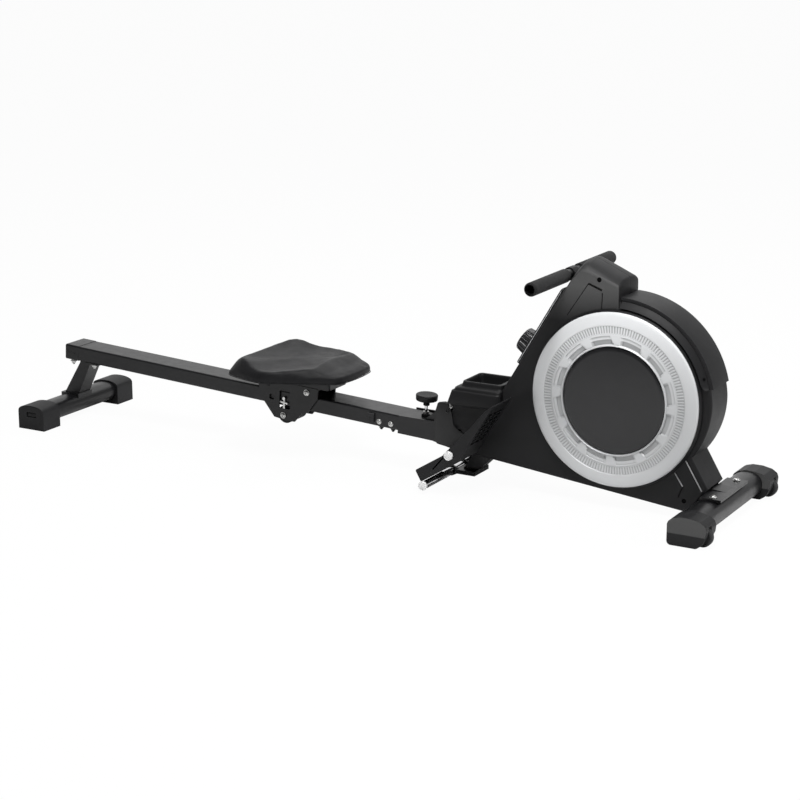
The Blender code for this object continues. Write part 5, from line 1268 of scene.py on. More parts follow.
class ROWER_OT_housing(PieceOperator, bpy.types.Operator):
    """Builds the drum housing's two halves with their seams, panels and screw wells"""
    bl_idname = "rower.housing"
    bl_label = "Drum housing"

    def build(self, sizes):
        for name, side in SIDES:
            shell = self.half(name, side)
            self.grooves(shell, name, side, sizes.seam_width)
            dress(shell, "frame", "black_plastic", [f"housing_{name}"], material="shell")
            self.screws(name, side)

    def half(self, name, side):
        outline = housing_outline()
        shell = link_piece(f"drum_shell_{name}", self.edged(outline, side, HOUSING_HALF, 0.0045))
        carve(shell, self.crowned(side), operation="UNION")
        inner = HOUSING_HALF - WALL
        hollow = slab(inset(outline, WALL), side, -0.01, inner)
        head_hollow = lofted([[(x, side * y, z) for x, z in head_section(0.85, 2 * WALL)]
                              for y in (-0.01, inner)])
        mouths = [plate(rectangle(*sides), -half, half) for sides, half in HOUSING_MOUTHS]
        mouths.append(moved(plate(rectangle(-0.030, 0.030, -0.007, 0.007), -0.017, 0.017),
                            turned_to((HANDLE[0] + 0.024, 0, HANDLE[1]))))       # for the strap
        mouths.append(moved(pin(0.0068, -0.02, 0.02, 32), on_slope(DIAL_AT, 0)))
        carve(shell, hollow, head_hollow, self.ledge(side), *mouths)
        liner = slab(SCOOP, side, HOUSING_HALF - 0.0050, HOUSING_HALF - 0.0010)
        return carve(shell, liner, operation="UNION")

    def ledge(self, side):
        """The stepped rim that the drum guard lies on."""
        shoulder = ((0.2165, 0.0620), (0.2165, 0.0535), (0.2183, 0.0535), (0.2340, 0.0460),
                    (0.2400, 0.0460), (0.2400, 0.0620))
        return lofted([guard_row(bearing, [(r, side * y) for r, y in shoulder])
                       for bearing in (GUARD_START, 13, 14, 15, 16, 17, *range(18, 90))])

    def edged(self, outline, side, half, edge, steps=4):
        """One half of a shell: square at the split and rounded over at its side."""
        rows = [[(x, side * GAP / 2, z) for x, z in outline]]
        for step in range(steps + 1):
            angle = pi / 2 * step / steps
            line = inset(anticlockwise(outline), edge * (1 - cos(angle))) if step else outline
            rows.append([(x, side * (half - edge * (1 - sin(angle))), z) for x, z in line])
        return lofted(rows)

    def crowned(self, side):
        """The head's half: it falls away from its crest at the split to a rounded side edge.

        Below a height the head grows narrower, down to the drum.
        """
        edge, height, run, narrower = 0.0034, 0.500, 0.070, 0.0065
        rows = [[(x, side * GAP / 2, z) for x, z in head_section(0.0, 0.0006)],
                [(x, side * 3 * GAP, z) for x, z in head_section(0.0)]]
        sections = [(share / 16, 0.0) for share in range(1, 16)]
        for turn in range(0, 91, 15):
            angle = radians(turn)
            sections.append((1 - edge / HEAD_HALF * (1 - sin(angle)), edge * (1 - cos(angle))))
        for share, shrink in sections:
            row = []
            for x, z in head_section(share, shrink):
                thin = narrower * min(1.0, max(0.0, (height - z) / run))
                row.append((x, side * (HEAD_HALF - thin) * share, z))
            rows.append(row)
        return lofted(rows)

    def grooves(self, shell, name, side, width):
        """The panel seam on the head, the creases on the column and the hollows round them."""
        seams = (  # half width there, depth, line, width
            (HEAD_HALF, 0.0080, [(1.5150, 0.4550), (1.5700, 0.5372)], 2.2 * width),
            (HEAD_HALF, 0.0075, [(1.5695, 0.5368), (1.6045, 0.5238)], 0.0056),
            (HEAD_HALF, 0.0080, [(1.6052, 0.5180), (1.6020, 0.4640)], 4 * width),
            (HOUSING_HALF, 0.0030, [(1.8190, 0.0782), (1.8082, 0.0506)], 3 * width),
        )
        cutters = [slab(ribbon(line, across), side, half - depth, half + 0.01)
                   for half, depth, line, across in seams]
        cutters.append(self.scoop(side))
        funnel = [(0, 0.004), (0.0064, 0.004), (0.0058, -0.0004), (0.0058, -0.0026), (0, -0.0026)]
        for x, z, half in SCREW_WELLS:
            well = turned(softened(funnel, 0.0005, 2), 28)
            cutters.append(moved(well, out_of_side(side, (x, side * half, z))))
        carve(shell, *cutters)
        for index, crease in enumerate(CREASES):
            bead = slab(ribbon(crease, 2.6 * width), side, HOUSING_HALF - 0.001, HOUSING_HALF + 0.0024,
                        0.0009)
            # Painted highlight: each crease bead is coloured pale for the light along the crease.
            put(f"crease_{index + 1}_{name}", bead, "frame", "black_plastic", material="pale_edge")

    def scoop(self, side):
        """The hollow behind the fold hinge, with leaning walls."""
        floor, rim = HOUSING_HALF - 0.0042, HOUSING_HALF + 0.0004
        outline = anticlockwise(rounded(SCOOP, 0.010, 5))
        return lofted([[(x, side * floor, z) for x, z in inset(outline, 0.006)],
                       [(x, side * rim, z) for x, z in outline]])

    def screws(self, name, side):
        """Near-black plugs in the screw wells, painted as the wells' unlit bottoms, and a small screw beside
        the tray.
        """
        profile = [(0, -0.0010), (0.0054, -0.0010), (0.0054, -0.0023), (0, -0.0023)]
        for index, (x, z, half) in enumerate(SCREW_WELLS):
            # Painted shade: the plug is coloured near-black for the shade at the well's bottom.
            plug = moved(turned(softened(profile, 0.0004, 2), 28), out_of_side(side, (x, side * half, z)))
            put(f"well_plug_{name}_{index + 1}", plug, "frame", "rubber", material="well")
        screw = moved(screw_head(0.0036), out_of_side(side, (1.2115, side * 0.0655, 0.2045)))
        put(f"tray_screw_{name}", screw, "frame", "black_steel")


def guard_reach(radius, bearing):
    """Draws the guard's side strip in to its outer edge round its lower end."""
    if radius >= GUARD_EDGE:
        return radius
    taper = 1 - (1 - min(1.0, max(0.0, (bearing - GUARD_START + 0.1) / 5.0))) ** 2
    return GUARD_EDGE - (GUARD_EDGE - radius) * max(taper, 0.02) ** 0.5


def guard_row(bearing, section):
    """A section of (radius, y) points, set at a bearing round the drum."""
    x, z = cos(radians(bearing)), sin(radians(bearing))
    reaches = [(guard_reach(r, bearing), y) for r, y in section]
    return [(DRUM[0] + reach * x, y, DRUM[1] + reach * z) for reach, y in reaches]


class ROWER_OT_drum_guard(PieceOperator, bpy.types.Operator):
    """Bends the cover band over the drum, with a flange down each side"""
    bl_idname = "rower.drum_guard"
    bl_label = "Drum guard"

    def build(self, sizes):
        inner, outer = DRUM_RADIUS + GAP, DRUM_RADIUS + 0.0062
        lip, edge, skin, half = 0.2190, GUARD_EDGE, 0.0480, 0.0600
        near = [(lip, -half + 0.0060), (lip, -half + 0.0008), (lip + 0.0008, -half),
                (edge - 0.0008, -skin - 0.0024), (edge - 0.0002, -skin - 0.0014),
                (edge + 0.0012, -skin - 0.0012), (edge + 0.0018, -skin - 0.0022),
                (outer - 0.0010, -skin - 0.0022), (outer - 0.0002, -skin - 0.0016), (outer, -skin - 0.0004)]
        section = near + [(r, -y) for r, y in reversed(near)]
        section += [(edge - 0.0030, skin), (inner, skin - 0.0020), (inner, -skin + 0.0020),
                    (edge - 0.0030, -skin)]
        rows = [guard_row(GUARD_START + (GUARD_END - GUARD_START) * step / 120, section)
                for step in range(121)]
        put("guard_band", lofted(rows), "frame", "black_plastic", ["drum_guard"], smooth=30)
        for name, side in SIDES:
            screw = moved(screw_head(0.0038), out_of_side(side, (1.8626, side * (half - 0.0042), 0.3428)))
            # Painted shade: the screw heads take the near-black colour of an unlit screw well.
            put(f"guard_screw_{name}", screw, "frame", "rubber", material="well")


# The trim ring's face from its rim inwards: what varies round it, and radii with their depth below the face
RING_FACE = (
    (None, ((0.2103, 0.0076), (0.2100, 0.0056), (0.2090, 0.0042), (0.2070, 0.0031), (0.2020, 0.0017),
            (0.1950, 0.0005), (0.1880, 0.0), (0.1810, 0.0), (0.1800, 0.0003), (0.1793, 0.0014),
            (0.1786, 0.0018))),
    ("tick", ((0.1776, 0.0018), (0.1755, 0.0018), (0.1640, 0.0020), (0.1620, 0.0020))),
    (None, ((0.1608, 0.0020), (0.1590, 0.0020), (0.1584, 0.0014), (0.1562, 0.0014), (0.1556, 0.0014))),
    ("ledge", ((0.1546, 0.0014), (0.1500, 0.0014), (0.1470, 0.0014))),
    ("deep", ((0.1460, 0.0014), (0.1400, 0.0014), (0.1352, 0.0014))),
    (None, ((0.1344, 0.0014), (0.1336, 0.0008), (0.1328, -0.0002), (0.1316, -0.0008), (0.1306, -0.0002),
            (0.1301, 0.0020), (0.1300, 0.0060))),
)
TICK_DEPTH = 0.0013
WINDOW_DEPTHS = {"ledge": 0.0018, "deep": 0.0048}


class ROWER_OT_trim_rings(PieceOperator, bpy.types.Operator):
    """Builds the silver rings with their ticks and windows, and the gloss discs inside them"""
    bl_idname = "rower.trim_rings"
    bl_label = "Trim rings"

    def build(self, sizes):
        for name, side in SIDES:
            out = out_of_side(side, (DRUM[0], 0, DRUM[1]))
            self.ring(name, out, sizes.ring_ticks, sizes.ring_windows)
            self.disc(name, out)

    def ring(self, name, out, ticks, windows):
        face, foot, per_tick = 0.0725, HOUSING_HALF + GAP, 6
        rows = [(0.2080, foot + 0.0004, None), (0.2102, foot + 0.0004, None)]
        rows += [(radius, face - drop, kind) for kind, places in RING_FACE for radius, drop in places]
        rows += [(radius, height, None) for radius, height in (
            (0.1300, foot), (0.1330, foot), (0.1330, face - 0.0130), (0.2060, face - 0.0125),
            (0.2075, face - 0.0130))]
        steps = ticks * per_tick
        rings = []
        for radius, height, kind in rows:
            ring = []
            for step in range(steps):
                angle = 2 * pi * step / steps
                depth = 0.0
                if kind == "tick" and step % per_tick in (0, 1, 2):
                    depth = TICK_DEPTH
                elif kind in WINDOW_DEPTHS:
                    depth = WINDOW_DEPTHS[kind] * self.window_share(angle * 180 / pi, radius, windows)
                ring.append((radius * cos(angle), radius * sin(angle), height - depth))
            rings.append(ring)
        shape = lofted([*rings, rings[0]], False)
        bmesh.ops.remove_doubles(shape, verts=shape.verts, dist=1e-6)
        put(f"silver_ring_{name}", moved(shape, out), "frame", "silver_plastic", [f"trim_ring_{name}"],
            smooth=50)
        flange = softened([(0.2106, foot), (0.2160, foot), (0.2160, foot + 0.0034), (0.2138, foot + 0.0084),
                           (0.2106, foot + 0.0106)], 0.0012, 3)
        put(f"ring_flange_{name}", moved(turned(flange, 160, True), out), "frame", "black_plastic")

    def window_share(self, bearing, radius, windows):
        """How much of a window's depth is cut: it starts as a ramp and ends at a curved wall."""
        turn, foot, depth, curve, end, ramp, fall = 1.0, 0.1352, 0.0194, 0.10, 0.80, 0.10, 0.03
        share = ((bearing - turn) * windows / 360) % 1.0
        wall = curve * ((radius - foot) / depth) ** 0.6 if radius > foot else 0.0
        if not wall < share < end:
            return 0.0
        return min(1.0, (share - wall) / fall, (end - share) / ramp)

    def disc(self, name, out):
        low, high, radius, crown = 0.062, 0.0745, 0.1275, 0.0042
        profile = [(radius * step / 14, high - crown * (step / 14) ** 2) for step in range(15)]
        profile += [(0.1284, high - 0.0048), (0.1285, high - 0.0058), (0.1285, low), (0.1250, low),
                    (0.1250, low + 0.006), (0, low + 0.006)]
        put(f"gloss_disc_{name}", moved(turned(profile, 160), out), "frame", "gloss_black",
            [f"centre_disc_{name}"])


class ROWER_OT_tray(PieceOperator, bpy.types.Operator):
    """Moulds the storage tray: a leaning rear end, stepped shoulders and one deep pocket"""
    bl_idname = "rower.tray"
    bl_label = "Storage tray"

    def build(self, sizes):
        levels = (  # height, rear end, half width, corner radius
            (0.2005, 1.1990, 0.0640, 0.010), (0.2020, 1.1985, 0.0655, 0.011), (0.2060, 1.2005, 0.0660, 0.012),
            (0.2350, 1.2110, 0.0660, 0.012), (0.2365, 1.2125, 0.0650, 0.012), (0.2372, 1.2150, 0.0632, 0.012),
            (0.2390, 1.2170, 0.0622, 0.012), (0.2430, 1.2185, 0.0612, 0.012), (0.2452, 1.2215, 0.0590, 0.012),
            (0.2462, 1.2290, 0.0545, 0.012), (0.2480, 1.2320, 0.0520, 0.012), (0.2520, 1.2335, 0.0508, 0.012),
            (0.2565, 1.2345, 0.0500, 0.012), (0.2588, 1.2355, 0.0490, 0.011), (0.2600, 1.2375, 0.0472, 0.010))
        pocket = ((0.2594, 0.0024), (0.2570, 0.0036), (0.2500, 0.0045), (0.2150, 0.0075), (0.2120, 0.0100),
                  (0.2108, 0.0140))     # height, distance inside the rim
        front = 1.3455
        rings = [(z, rectangle(rear, front, -half, half), corner) for z, rear, half, corner in levels]
        rings += [(z, rectangle(1.2375 + inside, 1.3375 - inside, -0.0455 + inside, 0.0455 - inside), 0.009)
                  for z, inside in pocket]
        rows = [[(x, y, z) for x, y in rounded(outline, corner, 8)] for z, outline, corner in rings]
        put("pocket_tray", lofted(rows), "frame", "black_plastic", ["storage_tray"], smooth=50)
        for name, side in SIDES:
            matrix = out_of_side(side, (1.2072, side * 0.0524, 0.1905))
            dome_bolt(f"tray_bolt_{name}", matrix, "frame", "zinc", 0.0036, 0.0022, 0.0014)


class ROWER_OT_console(PieceOperator, bpy.types.Operator):
    """Builds the console on the sloping face: a panel with a painted highlight line round it, a display and a
    button
    """
    bl_idname = "rower.console"
    bl_label = "Console"

    def build(self, sizes):
        middle, half = sum(CONSOLE) / 2, (CONSOLE[1] - CONSOLE[0]) / 2
        centred = on_slope(middle, GAP)
        screen, button, dial = (on_slope(t, CONSOLE_FACE) for t in (SCREEN_AT, BUTTON_AT, DIAL_AT))

        outline = rounded(rectangle(-half, half, -0.040, 0.040), 0.008)
        opening = rounded(rectangle(-0.0334, 0.0334, -0.0284, 0.0284), 0.002)
        bezel = rounded(rectangle(-0.0365, 0.0365, -0.0315, 0.0315), 0.004)
        groove = turned([(0.0330, -0.0008), (0.0345, -0.0008), (0.0345, 0.006), (0.0330, 0.006)], 72, True)
        put("console_panel", moved(flat(outline, 0.0, 0.0097, 0.0022, 4), centred), "frame", "black_plastic",
            ["console_body"], cutters=[
                moved(flat(opening, -0.0032, 0.006), screen), moved(flat(bezel, -0.0009, 0.006), screen),
                moved(pin(0.0080, -0.0072, 0.006, 40), button), moved(groove, dial),
                moved(pin(0.0065, -0.02, 0.02, 32), on_slope(DIAL_AT, 0))])

        # Painted highlight: a thin silver line round the panel's side stands for the light on its edge.
        line = rounded(rectangle(-half, half, -0.0403, 0.0403), 0.008)
        inside = moved(flat(inset(anticlockwise(line), 0.0018), 0.0, 0.02), centred)
        put("console_painted_highlight", moved(flat(line, 0.0054, 0.0066, 0.0002), centred), "frame", "silver_plastic",
            cutters=[inside])

        glass = rounded(rectangle(-0.033, 0.033, -0.028, 0.028), 0.0016)
        window = moved(flat(glass, -0.0029, -0.0009, 0.0005, 2), screen)
        put("display_window", window, "frame", "screen", ["console_screen"])
        low = CONSOLE_FACE - 0.005 + GAP
        profile = softened([(0, low), (0.0073, low), (0.0073, low + 0.008), (0, low + 0.0086)], 0.0012, 4)
        put("mode_button", moved(turned(profile, 40), on_slope(BUTTON_AT, 0)), "button", "red_plastic",
            ["console_button"])


class ROWER_OT_tension_knob(PieceOperator, bpy.types.Operator):
    """Turns the tension knob with its finger ribs, pointer line and spindle"""
    bl_idname = "rower.tension_knob"
    bl_label = "Tension knob"

    def build(self, sizes):
        low, per_rib, groove_share = 0.0106, 10, 0.6
        steps = sizes.knob_ribs * per_rib
        levels = (  # height, radius, share of the grooves' depth
            (0.0, 0.0318, 0.2), (0.0012, 0.0330, 0.6), (0.003, 0.0330, 1.0), (0.020, 0.0306, 1.0),
            (0.0235, 0.0300, 0.8), (0.0255, 0.0290, 0.4), (0.0268, 0.0272, 0.0), (0.0275, 0.0245, 0.0),
            (0.0275, 0.0190, 0.0), (0.0268, 0.0175, 0.0), (0.0268, 0.0060, 0.0))
        rows = []
        for height, radius, share in levels:
            row = []
            for step in range(steps):
                phase = min(1.0, step % per_rib / per_rib / groove_share)
                reach = radius - 0.0019 * share * max(0.0, sin(pi * phase)) ** 0.5
                angle = 2 * pi * step / steps
                row.append((reach * cos(angle), reach * sin(angle), low + height))
            rows.append(row)
        shaft = turned([(0, low + 0.002), (0.006, low + 0.002), (0.006, -0.014), (0, -0.014)], 32)
        dial = on_slope(DIAL_AT, 0)
        put("tension_dial", moved(joined(lofted(rows), shaft), dial), "knob", "black_plastic",
            ["tension_knob"], "gloss_black", 34)
        mark = rounded(rectangle(0.008, 0.0165, -0.0008, 0.0008), 0.0006)
        mark = moved(flat(mark, low + 0.0266, low + 0.0271, 0.0001), dial)
        put("dial_mark", mark, "knob", "white_plastic")


class ROWER_OT_handle(PieceOperator, bpy.types.Operator):
    """Builds the pull handle: a steel bar, two foam grips, the strap's clip and the strap"""
    bl_idname = "rower.handle"
    bl_label = "Pull handle"

    def build(self, sizes):
        half, place = BAR_HALF, (HANDLE[0], 0, HANDLE[1])
        ends = [(0.0105, half), (0.0122, half), (0.0125, half - 0.0004)]
        bar = turned(ends + [(r, -y) for r, y in reversed(ends)], 64, True)
        put("pull_bar", moved(bar, out_of_side(1, place)), "handle", "black_steel", ["handle_bar"])
        for name, side in SIDES:
            self.grip(name, out_of_side(side, place))
        self.clip(place)
        self.strap()

    def grip(self, name, out):
        """A foam sleeve; where it reaches past the bar, its end closes to a small vent."""
        inner, outer = sorted(abs(corner.y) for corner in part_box(f"grip_{name}"))
        radius, bore, edge, stop = 0.0165, BAR_BORE, 0.0062, BAR_HALF + GAP
        profile = [(bore, inner), (radius - 0.0018, inner), (radius - 0.0005, inner + 0.0005),
                   (radius, inner + 0.0018)]
        for angle in (radians(turn) for turn in range(0, 91, 18)):
            profile.append((radius - edge * (1 - cos(angle)), outer - edge * (1 - sin(angle))))
        if outer > BAR_HALF:
            profile += [(0.0046, outer - 0.0002), (0.0040, outer - 0.0010), (0.0040, stop), (bore, stop)]
        else:
            profile += [(bore, outer)]
        put(f"foam_grip_{name}", moved(turned(profile, 72, True), out), "handle", "foam", [f"grip_{name}"],
            smooth=50)

    def clip(self, place):
        """The strap's clamp round the bar, with a slot for the strap and two screws."""
        low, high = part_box("strap_clip")
        half = (high.y - low.y) / 2
        front = high.x + MIDDLE - HANDLE[0]
        outline = arc((0, 0), 0.0162, 62, 298, 28)
        outline += [(front - 0.001, -0.0062), (front, -0.005), (front, 0.005), (front - 0.001, 0.0062)]
        bore = moved(pin(BAR_BORE, -0.03, 0.03, 48), out_of_side(1, place))
        slot_low, slot_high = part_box("pull_strap")
        slot = rectangle(HANDLE[0] + 0.0135, HANDLE[0] + 0.05, slot_low.z - GAP, slot_high.z + GAP)
        put("strap_buckle", moved(plate(outline, -half, half, 0.0016), turned_to(place)), "handle",
            "black_plastic", ["strap_clip"], cutters=[bore, plate(slot, -0.0130, 0.0130)])
        for index, side in enumerate((-1, 1)):
            matrix = turned_to((HANDLE[0] - 0.0163, side * 0.008, HANDLE[1]), (0, -90, 0))
            put(f"buckle_screw_{index + 1}", moved(screw_head(0.0028), matrix), "handle", "black_steel")

    def strap(self):
        low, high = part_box("pull_strap")
        start, end = low.x + MIDDLE, high.x + MIDDLE
        half, thick = (high.y - low.y) / 2 - 0.0002, (high.z - low.z) / 2
        middle = (high.z + low.z) / 2
        corners, count = 28, 60
        section = []
        for angle in (2 * pi * step / corners for step in range(corners)):
            section.append((half * full(cos(angle), 0.45), thick * full(sin(angle), 0.7)))
        rows = [[(start + (end - start) * step / count, y, middle + z) for y, z in section]
                for step in range(count + 1)]
        band = link_piece("pull_webbing", lofted(rows), 50)
        band.data.materials.append(finish("webbing"))
        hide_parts("pull_strap")
        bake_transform(band)


class ROWER_OT_pedals(PieceOperator, bpy.types.Operator):
    """Moulds the two foot pedals with ribbed soles, a slot and a rounded toe"""
    bl_idname = "rower.pedals"
    bl_label = "Foot pedals"

    def build(self, sizes):
        for name, _ in SIDES:
            self.pedal(name, sizes.tread_ribs)

    def pedal(self, name, ribs):
        low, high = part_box(f"pedal_{name}")
        middle, half = (low.y + high.y) / 2, (high.y - low.y) / 2
        beside = turned_to((0, middle, 0))
        corners = [(1.1925, 0.0295), (1.2925, 0.092), (1.3215, 0.141), (1.379, 0.233), (1.391, 0.249),
                   (1.3635, 0.228), (1.319, 0.1755), (1.256, 0.1100), (1.251, 0.1035), (1.1765, 0.057)]
        body = link_piece(f"foot_pedal_{name}",
                          moved(plate(rounded(corners, 0.004, 4), -half, half, 0.0016, 3), beside))
        plan = [(-0.24, -half - 0.002), (0.092, -half - 0.002),
                *arc((0.096, 0), half + 0.0002, -90, 90, 40), (-0.24, half + 0.002)]
        keep = moved(flat(plan, -0.15, 0.15), turned_to((1.319, middle, 0.1755), (0, -47.9, 0)))
        carve(body, keep, operation="INTERSECT")
        bore = moved(pin(0.0103, -0.1, 0.1, 48), out_of_side(1, (PIVOT_ROD[0], middle, PIVOT_ROD[1])))
        slot = moved(plate(oblong((1.226, 0.0665), (1.262, 0.1090), 0.00175), -0.1, 0.1), beside)
        carve(body, bore, slot, *self.underside_pockets(middle, ribs))
        dress(body, f"pedal_{name}", "black_plastic", [f"pedal_{name}"])
        self.tread(name, middle, half)

    def along(self, first, last, count):
        """Places spaced evenly between two points, with the tilt of the line between them."""
        run = Vector(last) - Vector(first)
        tilt = -atan2(run.y, run.x) * 180 / pi
        return [(Vector(first) + run * (index + 0.5) / count, tilt) for index in range(count)]

    def underside_pockets(self, middle, ribs):
        """Hollows between the stiffening ribs under the sole."""
        start, end = (1.3150, 0.1330), (1.3700, 0.2200)
        half = (Vector(end) - Vector(start)).length / ribs * 0.32
        found = []
        for place, tilt in self.along(start, end, ribs):
            for across in (-0.026, 0.0, 0.026):
                box = rounded(rectangle(-half, half, -0.0105, 0.0105), 0.0015, 2)
                found.append(moved(flat(box, -0.0075, 0.0080),
                                   turned_to((place.x, middle + across, place.y), (0, tilt, 0))))
        return found

    def tread(self, name, middle, half):
        """Raised cross ribs on the face that the shoe stands on."""
        heel, ball, toe = (1.262, 0.1166), (1.316, 0.1728), (1.357, 0.2200)
        shapes = []
        for place, tilt in self.along(heel, ball, 6) + self.along(ball, toe, 5):
            width = half - 0.010 if place.x < 1.335 else half - 0.018
            bar = flat(oblong((0, -width), (0, width), 0.0016, 6), -0.0010, 0.0011, 0.0005, 2)
            shapes.append(moved(bar, turned_to((place.x, middle, place.y), (0, tilt, 0))))
        put(f"pedal_tread_{name}", joined(*shapes), f"pedal_{name}", "rubber")


class ROWER_OT_rods(PieceOperator, bpy.types.Operator):
    """Turns the two chrome cross rods and their white end plugs"""
    bl_idname = "rower.rods"
    bl_label = "Cross rods"

    def build(self, sizes):
        half = 0.181
        ends = [(0, half + 0.0004), (0.0092, half + 0.0004), (0.010, half - 0.0004)]
        rod = ends + [(r, -y) for r, y in reversed(ends)]
        cup = [(0, half + 0.0062), (0.0078, half + 0.0062), (0.0086, half + 0.0056), (0.0094, half + 0.0062),
               (0.0100, half + 0.0062), (0.0110, half + 0.0052), (0.0110, half - 0.0008),
               (0.0102, half - 0.0008), (0.0102, half + 0.0006), (0, half + 0.0006)]
        for name, (x, z) in (("pedal_axle", PIVOT_ROD), ("stop_rod", STOP_ROD)):
            put(f"{name}_bar", moved(turned(rod, 64), out_of_side(1, (x, 0, z))), "frame", "chrome", [name])
            for label, side in SIDES:
                plug = moved(turned(cup, 64), out_of_side(side, (x, 0, z)))
                put(f"{name}_plug_{label}", plug, "frame", "white_plastic")


class ROWER_OT_hinge(PieceOperator, bpy.types.Operator):
    """Finishes the fold hinge: its cradle, bracket, pivot bolt, pull knob and pin"""
    bl_idname = "rower.hinge"
    bl_label = "Fold hinge"

    def build(self, sizes):
        carry_over("black_steel", "hinge_cradle", edge=0.0007)
        carry_over("black_steel", "pivot_bolt", edge=0.0005)
        carry_over("chrome", "lock_pin", edge=0.0003)
        for name, side in SIDES:
            self.bracket(name, side)
        self.pull_knob()
        self.collar()

    def bracket(self, name, side):
        """The formed side sheet of the hinge, outside the housing and turned in at its rear edge."""
        corners = [(1.1890, 0.2000), (1.1705, 0.1976), (1.1622, 0.1748), (1.1580, 0.1510), (1.1586, 0.1229),
                   (1.1596, 0.0972), (1.1680, 0.0906), (1.1934, 0.0877), (1.2330, 0.0800), (1.2480, 0.1215),
                   (1.2435, 0.1258), (1.2267, 0.1348), (1.2155, 0.1460), (1.2127, 0.1610), (1.2098, 0.1742),
                   (1.2055, 0.1881), (1.1985, 0.1990)]
        outline = anticlockwise(rounded(corners, 0.008, 4))
        near, far = HOUSING_HALF + 0.0006, HOUSING_HALF + 0.0026
        rows = []
        for y, shrink in ((near, 0.0), (far - 0.0008, 0.0), (far - 0.0002, 0.0003), (far, 0.0009)):
            rows.append([(x, side * (y - 0.0058 * max(0.0, (1.1770 - x) / 0.019)), z)
                         for x, z in (inset(outline, shrink) if shrink else outline)])
        put(f"hinge_bracket_{name}", lofted(rows), "frame", "black_steel", smooth=28)
        matrix = out_of_side(side, (1.1985, side * (far - 0.0002), 0.1790))
        dome_bolt(f"hinge_bolt_{name}", matrix, "frame", "black_steel", 0.0052, 0.0026, 0.0020)

    def pull_knob(self):
        low, high = 0.041, 0.0575
        profile = [(0, high - 0.0018), (0.012, high - 0.0016), (0.020, high - 0.0008), (0.0245, high),
                   (0.0262, high - 0.0004), (0.0274, high - 0.0016), (0.0280, high - 0.0034),
                   (0.0278, high - 0.0060), (0.0274, low + 0.0030), (0.0266, low + 0.0012),
                   (0.0250, low + 0.0002), (0.0150, low - 0.0006), (0.0115, low - 0.0016),
                   (0.0095, low - 0.0038), (0.0082, low - 0.0070), (0.0080, low - 0.0122),
                   (0.0074, low - 0.0130), (0.0043, low - 0.0130), (0.0043, high - 0.0102),
                   (0, high - 0.0102)]
        put("pull_handle", moved(turned(profile, 80), on_rail(PIN_AT, 0)), "pull", "black_plastic",
            ["pull_knob"], smooth=34)

    def collar(self):
        """The threaded nut on the rail that guides the pin."""
        bore, place = 0.0046, on_rail(PIN_AT, 0)
        put("pin_collar", moved(hexagon(0.022, 0.0002, 0.0072, 0.001), place), "rail", "black_steel",
            cutters=[moved(pin(bore, -0.01, 0.03, 40), place)])
        sleeve = turned([(bore, 0.0070), (0.0075, 0.0070), (0.0078, 0.0078), (0.0072, 0.0125),
                         (bore, 0.0125)], 40, True)
        put("pin_sleeve", moved(sleeve, place), "rail", "zinc")


class ROWER_OT_frame_works(PieceOperator, bpy.types.Operator):
    """Gives the welded frame, the foot and the works inside the housing their finishes"""
    bl_idname = "rower.frame_works"
    bl_label = "Frame and works"

    def build(self, sizes):
        for slot, edge, names in (
                ("black_steel", 0.0008, ("main_frame", "middle_foot")),
                ("raw_iron", 0.0006, ("flywheel", "brake_magnet")),
                ("zinc", 0.0004, ("flywheel_axle", "magnet_shoe")), ("zinc", 0.0, ("recoil_spring",)),
                ("black_plastic", 0.0004, ("strap_reel", "drive_pulley")),
                ("white_plastic", 0.0004, ("guide_roller",)), ("rubber", 0.0003, ("drive_belt",)),
                ("cable_sheath", 0.0, ("tension_cable",)), ("webbing", 0.0, ("reel_strap",))):
            carry_over(slot, *names, edge=edge)


# Stage

